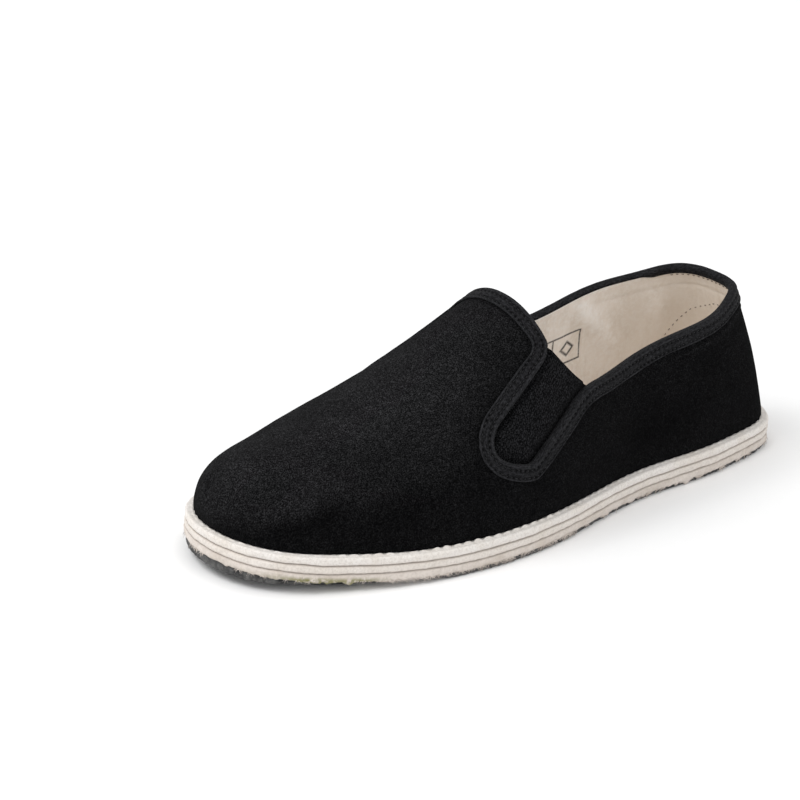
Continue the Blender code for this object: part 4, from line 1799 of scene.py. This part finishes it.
@dataclass
class Binding:
    """The cotton tape folded over the opening's edge and sewn down."""

    last: Last
    opening: Opening
    pitch: float = 0.0022
    rows: tuple[float, float] = (0.00120, 0.00410)
    dent: float = 0.00042
    dent_width: float = 0.00050
    lap_share: float = 0.10
    heel_lap: float = 1.2
    far_side: tuple[float, float] = (-0.097, -0.091)
    heel_end: tuple[float, float] = (-0.126, -0.108)
    outside_from: float = 0.0003
    wander: float = 0.00028
    nap: float = 0.00006
    # Places and widths of the painted highlight lines along the tape's two folds.
    highlight_lines: tuple[tuple[float, float], ...] = ((0.0049, 0.0003), (0.0001, 0.0004))
    join_height: float = 0.00045
    join_length: float = 0.0035
    stitch_height: float = 0.00058

    def section(self) -> tuple[Array, Array]:
        """Carry the profile round the opening, narrower inside and wandering outside.

        Returns:
            How far into the cloth and how high over the last each corner lies.
        """
        opening = self.opening
        profile = np.array(TAPE_PROFILE) / 1000
        rings = len(opening.angles)
        distance = np.tile(profile[:, 0], (rings, 1))
        height = np.tile(profile[:, 1], (rings, 1))
        lap = (height < -0.0018) & (distance > -0.0003)
        share = self.heel_lap * (1 - ease(opening.points[:, 0], *self.far_side))
        share *= 0.35 + 0.65 * ease(opening.points[:, 0], *self.heel_end)
        share += self.lap_share
        distance = np.where(lap, distance * share[:, None], distance)
        wander = cloudy(opening.points, 0.010, 11.0)[:, None]
        border = (height > self.outside_from) * ease(distance, 0.0035, 0.0052)
        return distance + border * wander * self.wander, height

    def build(self) -> bpy.types.Object:
        """Build the tape.

        Returns:
            The piece.
        """
        opening, last = self.opening, self.last
        distance, height = self.section()
        rings, sides = height.shape
        along = np.tile(opening.along[:, None], (1, sides))
        outside = height > self.outside_from
        beat = np.cos(np.pi * along / self.even_pitch()) ** 4
        dent = np.zeros_like(height)
        for row in self.rows:
            dent += np.exp(-((distance - row) / self.dent_width) ** 2) * (0.2 + 0.8 * beat)
        dent *= outside
        height = height - self.dent * dent + outside * self.join()[:, None]
        goal = opening.points[:, None] + distance[..., None] * opening.inward[:, None]
        start = np.repeat(opening.angles, sides, axis=0)
        angles = last.glide(start, goal.reshape(-1, 3))
        spots = last.point(angles[:, 0], angles[:, 1])
        rough = self.nap * cloudy(spots, 0.0028, 12.0) * outside.ravel()
        corners = last.lifted(angles, height.ravel() + rough)
        across = arc_lengths(np.array(TAPE_PROFILE) / 1000)
        cloth = np.column_stack([along.ravel(), np.tile(across, rings), 0 * along.ravel()])
        # Painted highlight lines along the tape's folds, carried as the ridge numbers.
        ridge = sum(np.exp(-((distance - place) / width) ** 2) for place, width in self.highlight_lines)
        # The dent numbers also darken the tape there: painted shade in the stitch dents.
        values = {"cloth": cloth, "dent": dent.ravel(), "ridge": (ridge * outside).ravel()}
        faces = [ring_faces(rings, sides, closed=True)]
        piece = make_piece("binding_tape", corners, faces, Tape().material(), values)
        return seat(piece, Slot.BINDING, "collar_binding")

    def even_pitch(self) -> float:
        """The stitches' pitch, set so that a whole number goes round the opening."""
        return self.opening.total / round(self.opening.total / self.pitch)

    def join(self) -> Array:
        """Where the tape's ends lap, at the outer corner of the tab.

        Returns:
            The extra height at each point of the opening's edge.
        """
        _, tab = self.opening.corners[Side.OUTER]
        past = self.opening.along - self.opening.along[self.opening.nearest(tab, Side.OUTER)]
        end = 1 - ease(past, self.join_length * 0.7, self.join_length)
        return self.join_height * ease(past, -0.0002, 0.0004) * end

    def stitches(self) -> bpy.types.Object:
        """Build the stitches of both rows.

        Returns:
            The piece.
        """
        rows = []
        for row in self.rows:
            angles = self.opening.row(row)
            closed = np.concatenate([angles, angles[:1]])
            turned = np.unwrap(closed[:, 0], period=2 * np.pi)
            closed = np.column_stack([turned, closed[:, 1]])
            length = arc_lengths(self.last.point(closed[:, 0], closed[:, 1]))[-1]
            pitch = self.even_pitch() * length / self.opening.total
            rows.append(stitches_on(self.last, closed, self.stitch_height, pitch))
        run = StitchRun("tape_stitches", Thread("tape_thread", (0.020, 0.020, 0.022)), length=0.0015)
        return run.build(rows, Slot.BINDING)


@dataclass
class Gore:
    """The elastic panel behind one notch."""

    last: Last
    opening: Opening
    side: Side
    thickness: float = 0.0012
    depth: float = 0.0029
    lap: float = 0.005
    tab_rise: float = 0.0022
    lip_rise: float = 0.005
    sag: float = 0.0032
    rise: float = 0.0016
    ripple: float = 0.00012
    grid: float = 0.0013

    def border(self) -> Array:
        """The gore's outline: under the cloth's edge, then back along the free edge.

        Returns:
            Its angles.
        """
        opening = self.opening
        lip, tab = opening.corners[self.side]
        lap = opening.row(self.lap)
        first, final = sorted((opening.nearest(lip, self.side), opening.nearest(tab, self.side)))
        under_cloth = lap[first:final + 1:2] * (self.side.value, 1)
        chord = unit(tab - lip)
        lip_end = lip - self.lap * chord - self.lip_rise * opening.down
        tab_end = tab + self.lap * chord - self.tab_rise * opening.down
        start, end = (tab_end, lip_end) if self.side is Side.OUTER else (lip_end, tab_end)
        u = np.linspace(0, 1, 41)[:, None]
        free_edge = start + (end - start) * u
        free_edge[:, 1] -= self.sag * 4 * (u * (1 - u))[:, 0]
        return np.concatenate([under_cloth, self.last.from_side(free_edge)])

    def build(self, name: str, node: str) -> bpy.types.Object:
        """Build the gore.

        Args:
            name: The piece's name.
            node: The CAD node that it stands for.

        Returns:
            The piece.
        """
        last, opening = self.last, self.opening
        border = self.border()
        rim = last.flat(border)

        def keep(spots: Array) -> Array:
            """Whether spots of the lay-out lie on the gore."""
            return inside(spots, rim)

        patch = Patch.cut(last, [border], [], self.grid, keep)
        patch.angles = patch.angles * (self.side.value, 1)
        if self.side is Side.INNER:
            patch.triangles = patch.triangles[:, ::-1]
        points = last.point(patch.angles[:, 0], patch.angles[:, 1])
        from_edge = distances(points, opening.points)
        free = inside(last.flat(patch.angles), last.flat(opening.angles))
        top = -self.depth + self.rise * ease(from_edge, 0.0012, 0.0042) * free
        top += self.ripple * cloudy(points, 0.006, 21.0)
        corners, faces = patch.solid(top, top - self.thickness)
        view = points[:, (0, 2)] - opening.mouth
        cloth = np.column_stack([view @ opening.down, view @ opening.across, 0 * view[:, 0]])
        values = {"cloth": patch.twice(cloth)}
        return seat(make_piece(name, corners, faces, Elastic().material(), values),
                    Slot.ELASTIC, node)


# The sole


@dataclass
class Layer:
    """One flat layer of the sole: rings from its upper middle over the side to below."""

    last: Last
    name: str
    node: str
    slot: Slot
    top: float
    thickness: float
    inset: float = 0.0
    toe_extra: float = 0.0
    bulge: float = 0.0009
    rough: float = 0.00022
    rough_size: float = 0.0032
    droop: float = 0.0
    hump: float = 0.0
    hump_inset: float = 0.0026
    hump_width: float = 0.0005
    worn: float = 0.0
    worn_middle: float = 0.098
    worn_reach: float = 0.026
    jut: float = 0.0
    bare_from: tuple[float, float] = (-0.020, 0.010)
    bare_to: tuple[float, float] = (0.060, 0.080)
    joint_wander: float = 0.00032
    upper_wave: int = 0
    lower_wave: int = 0
    soil: tuple[tuple[float, float, float], ...] = ()
    count: int = 1440
    ledge: tuple[float, ...] = (0.0085, 0.0055, 0.0042, 0.0036, 0.0032, 0.0029, 0.0027, 0.0025,
                                0.0022, 0.0019, 0.0016)
    under: tuple[float, ...] = (0.003, 0.008)
    wall: int = 13
    squareness: float = 0.65
    seed: float = 31.0

    def __post_init__(self) -> None:
        """Lay out the angles round the layer, and what changes along its outline."""
        self.theta = np.linspace(0, 2 * np.pi, self.count, endpoint=False)
        self.outline = self.last.outline(self.theta)
        x, y = self.outline.T
        self.bare = ease(x, *self.bare_from) * (1 - ease(x, *self.bare_to))
        hole = np.exp(-((x - self.worn_middle) / self.worn_reach) ** 4)
        self.hole = self.worn * np.where(y > 0, hole, 0.0) * ease(y, 0.0, 0.02)
        turned = np.where(self.theta > np.pi, self.theta - 2 * np.pi, self.theta)
        between = 1 - np.abs(np.cos(self.last.stitch_phase(turned))) ** 5
        swell = 0.35 + 0.65 * np.exp(-((x - 0.045) / 0.055) ** 2)
        uneven = 0.80 + 0.55 * cloudy(self.outline, 0.006, self.seed + 4)
        self.scallops = self.hump * swell * uneven * between

    def build(self, material: bpy.types.Material) -> bpy.types.Object:
        """Build the layer.

        Args:
            material: What it is made of.

        Returns:
            The piece.
        """
        insets, shares = self.profile()
        corners = np.concatenate([self.ring(*place) for place in zip(insets, shares)])
        along = arc_lengths(np.concatenate([self.outline, self.outline[:1]]))[:-1]
        height = corners[:, 2]
        cloth = np.column_stack([np.tile(along, len(shares)), height, 0 * height])
        # Painted shade where the layer meets the next one.
        groove = np.repeat([self.edge(share) for share in shares], self.count)
        stain = self.stain()
        soil = np.concatenate([stain * ease(share, 0.25, 0.75) for share in shares])
        corners[:, 2] = np.maximum(height, 0.0)
        cap = self.strip()
        last_ring = (len(shares) - 1) * self.count
        faces = [ring_faces(len(shares), self.count), cap, cap[:, ::-1] + last_ring]
        values = {"cloth": cloth, "groove": groove, "soil": soil}
        piece = make_piece(self.name, corners, faces, material, values)
        return seat(piece, self.slot, self.node)

    def profile(self) -> tuple[list[float], list[float]]:
        """Rings from the layer's upper middle over the side to below.

        Returns:
            How far inside the outline each ring lies, and its share of the way down.
        """
        turn = np.linspace(QUARTER, -QUARTER, self.wall)
        c = np.cos(turn) ** self.squareness
        s = np.sign(np.sin(turn)) * np.abs(np.sin(turn)) ** self.squareness
        insets = [*self.ledge, *(self.bulge * (1 - c)), *self.under]
        shares = [*np.zeros(len(self.ledge)), *((1 - s) / 2), *np.ones(len(self.under))]
        return insets, shares

    def ring(self, inset: float, share: float) -> Array:
        """Corners of one ring.

        Args:
            inset: How far inside the outline it lies.
            share: Its share of the way down.

        Returns:
            The corners, not yet kept over the floor.
        """
        last = self.last
        seen = float(inset < self.under[0])
        plan = last.outline(self.theta, self.inset + inset)
        spots = np.column_stack([plan, np.full(self.count, share * self.thickness)])
        side = ease(share, 0.0, 0.2) if inset < 0.002 else 0.0
        push = self.rough * cloudy(spots, self.rough_size, self.seed) * (0.3 + 0.7 * side)
        push += 0.4 * self.rough * cloudy(spots, self.rough_size / 3, self.seed + 1)
        push = seen * (push + self.jut * self.bare - 2.2 * self.hole)
        plan = last.outline(self.theta, self.inset + inset - push)
        z = last.sole_top(plan[:, 0]) + self.top
        z -= share * (self.thickness + self.toe_extra * last.toe_climb(plan[:, 0]))
        if share == 0:
            z += self.scallops * math.exp(-((inset - self.hump_inset) / self.hump_width) ** 2)
        z += self.wave(self.outline, self.upper_wave) * (1 - share)
        z += self.wave(self.outline, self.lower_wave) * share
        z += 0.25 * push * (share < 0.5)
        z += seen * (share * self.hole - ease(share, 0.6, 1.0) * self.hang(spots))
        return np.column_stack([plan, z])

    def hang(self, spots: Array) -> Array:
        """Where the frayed lower edge hangs down.

        Args:
            spots: Points of a ring.

        Returns:
            How far it hangs at each.
        """
        hang = np.clip(cloudy(spots, 0.0034, self.seed + 2, 4) - 0.02, 0, 1)
        hang *= 1 - 0.6 * ease(self.outline[:, 0], 0.100, 0.125)
        return self.droop * hang * (1 - 0.7 * self.bare)

    def edge(self, share: float) -> float:
        """How much painted shade a share of the way down gets in the groove between layers, from 0
        to 1.
        """
        upper = 0.0 if self.hump else 1 - ease(share, 0.03, 0.20)
        return float(max(ease(share, 0.76, 0.97), upper))

    def stain(self) -> Array:
        """Soiled stretches of the outer side, each with its X, its half length and its strength.

        Returns:
            How soiled each point of the outline is.
        """
        stain = np.zeros(self.count)
        for middle, reach, strength in self.soil:
            spread = strength * np.exp(-((self.outline[:, 0] - middle) / reach) ** 2)
            stain += np.where(self.outline[:, 1] > 0, spread, 0.0)
        return stain

    def wave(self, outline: Array, seed: int) -> Array:
        """How far a joint between two layers wanders up and down.

        Args:
            outline: Points of the outline.
            seed: Which wandering, or 0 for a straight joint.

        Returns:
            A height for each point.
        """
        if not seed:
            return np.zeros(len(outline))
        return self.joint_wander * cloudy(outline, 0.013, seed)

    def strip(self) -> Array:
        """Quads across a ring, from one side of the foot to the other."""
        i = np.arange(0, self.count // 2)
        return np.stack([i, -i % self.count, -(i + 1) % self.count, i + 1], -1)


@dataclass
class Fray:
    """Loose cotton fibres along the sole's lower edge."""

    last: Last
    height: float
    count: int = 1500
    per_clump: int = 6
    clump_spread: float = 0.006
    rings: int = 5
    sides: int = 4
    worn_share: float = 0.45
    worn_stretch: tuple[float, float] = (1.55, 2.30)
    length: float = 0.0026
    radius: float = 0.00017
    seed: int = 7

    def build(self, material: bpy.types.Material) -> bpy.types.Object:
        """Build the fibres.

        Args:
            material: What they are made of.

        Returns:
            The piece.
        """
        rng = np.random.default_rng(self.seed)
        clumps = rng.uniform(0, 2 * np.pi, self.count // self.per_clump)
        busy = rng.uniform(*self.worn_stretch, len(clumps))
        clumps = np.where(rng.random(len(clumps)) < self.worn_share, busy, clumps)
        theta = np.repeat(clumps, self.per_clump) + rng.normal(0, self.clump_spread, self.count)
        start = self.last.outline(theta, rng.uniform(0.0002, 0.0009, self.count))
        ahead = self.last.outline(theta + 0.01, 0.0) - self.last.outline(theta, 0.0)
        ahead = unit(np.column_stack([ahead, np.zeros(self.count)]))
        out = unit(np.column_stack([self.last.outline(theta, -0.001) - self.last.outline(theta, 0.0),
                                    np.zeros(self.count)]))
        z = self.last.sole_top(start[:, 0]) - self.last.sole_height + self.height
        base = np.column_stack([start, z])
        size = self.length * rng.uniform(0.4, 1.0, self.count)[:, None]
        sway = rng.uniform(-1, 1, self.count)[:, None]
        fall = rng.uniform(0.2, 0.8, self.count)[:, None]
        u = np.linspace(0, 1, self.rings)
        spine = (base[:, None] + (ahead * sway * size)[:, None] * u[:, None]
                 + (out * 0.45 * size)[:, None] * u[:, None]
                 - (np.array([0, 0, 1.0]) * fall * size)[:, None] * (u ** 2)[:, None])
        spine[..., 2] = np.maximum(spine[..., 2], self.radius)
        turn = np.linspace(0, 2 * np.pi, self.sides, endpoint=False)
        thick = self.radius * (1 - 0.8 * u)
        circle = (out[:, None, None] * np.cos(turn)[:, None]
                  + np.array([0, 0, 1.0]) * np.sin(turn)[:, None])
        corners = spine[:, :, None] + circle * thick[:, None, None]
        per = self.rings * self.sides
        base_index = (np.arange(self.count) * per)[:, None, None]
        quads = (ring_faces(self.rings, self.sides)[None] + base_index).reshape(-1, 4)
        first = np.arange(self.sides)
        caps = np.array([first, per - 1 - first])
        caps = (caps[None] + base_index).reshape(-1, self.sides)
        flat = corners.reshape(-1, 3)
        values = {"cloth": flat, "groove": np.zeros(len(flat)), "soil": np.zeros(len(flat))}
        piece = make_piece("cotton_fray", flat, [quads, caps], material, values)
        return seat(piece, Slot.COTTON)


@dataclass
class Sole:
    """Three cotton layers over a thin rubber outsole, with the insole on top."""

    last: Last
    wall: float
    cotton: float = 0.0029
    rubber: float = 0.0014
    rubber_toe: float = 0.0034
    rubber_inset: float = 0.0008
    insole: float = 0.0020

    def build(self) -> None:
        """Build every layer, from the top down."""
        last = self.last
        lean = last.heel_lean * (self.insole + FIT) / last.heel_height
        insole = Layer(last, "insole_cloth", "insole", Slot.LINING, FIT + self.insole, self.insole,
                       inset=last.ledge + self.wall + FIT + lean, bulge=0.0007, rough=0.00004,
                       rough_size=0.006, count=720)
        insole.build(LiningCloth(stamped=False).material())
        step = self.cotton + FIT
        thick = self.cotton + 0.95 * FIT
        top = Layer(last, "sole_cotton_top", "sole_layer_top", Slot.COTTON, 0.0, thick,
                    bulge=0.0014, rough=0.00024, hump=0.00100, lower_wave=71)
        top.build(Cotton("white_cotton").material())
        middle = Layer(last, "sole_cotton_middle", "sole_layer_middle", Slot.COTTON, -step, thick,
                       bulge=0.0011, rough=0.00028, seed=41.0, upper_wave=71, lower_wave=72)
        middle.build(Cotton("cream_cotton", white=(0.73, 0.68, 0.63)).material())
        # The lowest layer's cotton is darker than the two above it.
        darkest = Cotton("darkest_cotton", white=(0.68, 0.62, 0.57), cream=(0.50, 0.43, 0.36))
        lower_material = darkest.material()
        lower = Layer(last, "sole_cotton_lower", "sole_layer_lower", Slot.COTTON, -2 * step, thick,
                      bulge=0.0010, rough=0.00036, rough_size=0.0026, droop=0.0020, seed=51.0,
                      upper_wave=72, soil=((0.114, 0.012, 1.0), (0.097, 0.008, 0.7)))
        lower.build(lower_material)
        rubber = Layer(last, "rubber_outsole", "outsole", Slot.RUBBER, -3 * step, self.rubber,
                       inset=self.rubber_inset, toe_extra=self.rubber_toe - self.rubber,
                       bulge=0.0004, rough=0.00042, rough_size=0.0022, seed=61.0, worn=0.0012,
                       jut=0.0007)
        rubber.build(Rubber().material())
        Fray(last, last.sole_height - 3 * step + 0.0004).build(lower_material)


# The studio


@dataclass(frozen=True)
class Lamp:
    """A soft square light, with the way to it: to the camera's right, to the camera and up."""

    name: str
    way: tuple[float, float, float]
    distance: float
    size: float
    watts: float


@dataclass
class Studio:
    """Camera, lights and floor."""

    azimuth: float = math.radians(138.67)
    elevation: float = math.radians(22.42)
    roll: float = math.radians(3.763)
    target: tuple[float, float, float] = (0.02427, -0.03008, 0.03382)
    distance: float = 1.3644
    lens: float = 161.6
    room_light: float = 0.90
    lamps: tuple[Lamp, ...] = (
        Lamp("key", (-0.65, 0.40, 1.0), 2.0, 1.1, 20.0),
        Lamp("fill", (0.9, 0.7, 0.5), 2.4, 1.4, 5.0),
    )
    floor_reach: float = 6.0
    floor_height: float = -0.0001

    def __post_init__(self) -> None:
        """Work out the camera's own axes."""
        self.back = Vector((math.sin(self.azimuth) * math.cos(self.elevation),
                            -math.cos(self.azimuth) * math.cos(self.elevation),
                            math.sin(self.elevation)))
        level = Vector((0, 0, 1)).cross(self.back).normalized()
        upright = self.back.cross(level)
        c, s = math.cos(self.roll), math.sin(self.roll)
        self.right = level * c + upright * s
        self.up = upright * c - level * s

    def build(self) -> None:
        """Build the whole studio."""
        scene = bpy.context.scene
        scene.view_settings.view_transform = "Standard"
        world = bpy.data.worlds.new("pale_room")
        world.use_nodes = True
        background = world.node_tree.nodes["Background"]
        background.inputs["Color"].default_value = (1.0, 1.0, 1.0, 1.0)
        background.inputs["Strength"].default_value = self.room_light
        scene.world = world
        self.camera()
        for lamp in self.lamps:
            self.light(lamp)
        self.floor()

    def camera(self) -> None:
        """Put the camera in its place."""
        data = bpy.data.cameras.new("camera")
        data.lens = self.lens
        data.sensor_width = 36.0
        view = bpy.data.objects.new("camera", data)
        axes = Matrix((self.right, self.up, self.back)).transposed()
        place = Vector(self.target) + self.back * self.distance
        view.matrix_world = Matrix.Translation(place) @ axes.to_4x4()
        bpy.context.scene.collection.objects.link(view)
        bpy.context.scene.camera = view

    def light(self, lamp: Lamp) -> None:
        """Put up one light that faces the shoe.

        Args:
            lamp: The light.
        """
        data = bpy.data.lights.new(lamp.name, "AREA")
        data.size = lamp.size
        data.energy = lamp.watts
        toward = self.back.copy()
        toward.z = 0
        toward.normalize()
        side = Vector((0, 0, 1)).cross(toward)
        way = (side * lamp.way[0] + toward * lamp.way[1] + Vector((0, 0, lamp.way[2]))).normalized()
        light = bpy.data.objects.new(lamp.name, data)
        light.location = way * lamp.distance
        light.rotation_euler = way.to_track_quat("Z", "Y").to_euler()
        bpy.context.scene.collection.objects.link(light)

    def floor(self) -> None:
        """Lay the floor."""
        far, low = self.floor_reach, self.floor_height
        corners = np.array([(-far, -far, low), (far, -far, low), (far, far, low), (-far, far, low)])
        sheet = make_piece("floor", corners, [np.array([[0, 1, 2, 3]])], Paper().material())


def main() -> None:
    """Build the shoe and its studio, piece by piece."""
    logging.basicConfig(level=logging.INFO, format="%(name)s: %(message)s")
    last = Last()
    opening = Opening(last)
    upper = Upper(last, opening)
    upper.canvas()
    upper.lining()
    upper.counter_stitches()
    binding = Binding(last, opening)
    binding.build()
    binding.stitches()
    Gore(last, opening, Side.OUTER).build("elastic_gore_outer", "gore_outer")
    Gore(last, opening, Side.INNER).build("elastic_gore_inner", "gore_inner")
    Sole(last, upper.wall).build()
    Studio().build()


if __name__ == "__main__":
    main()
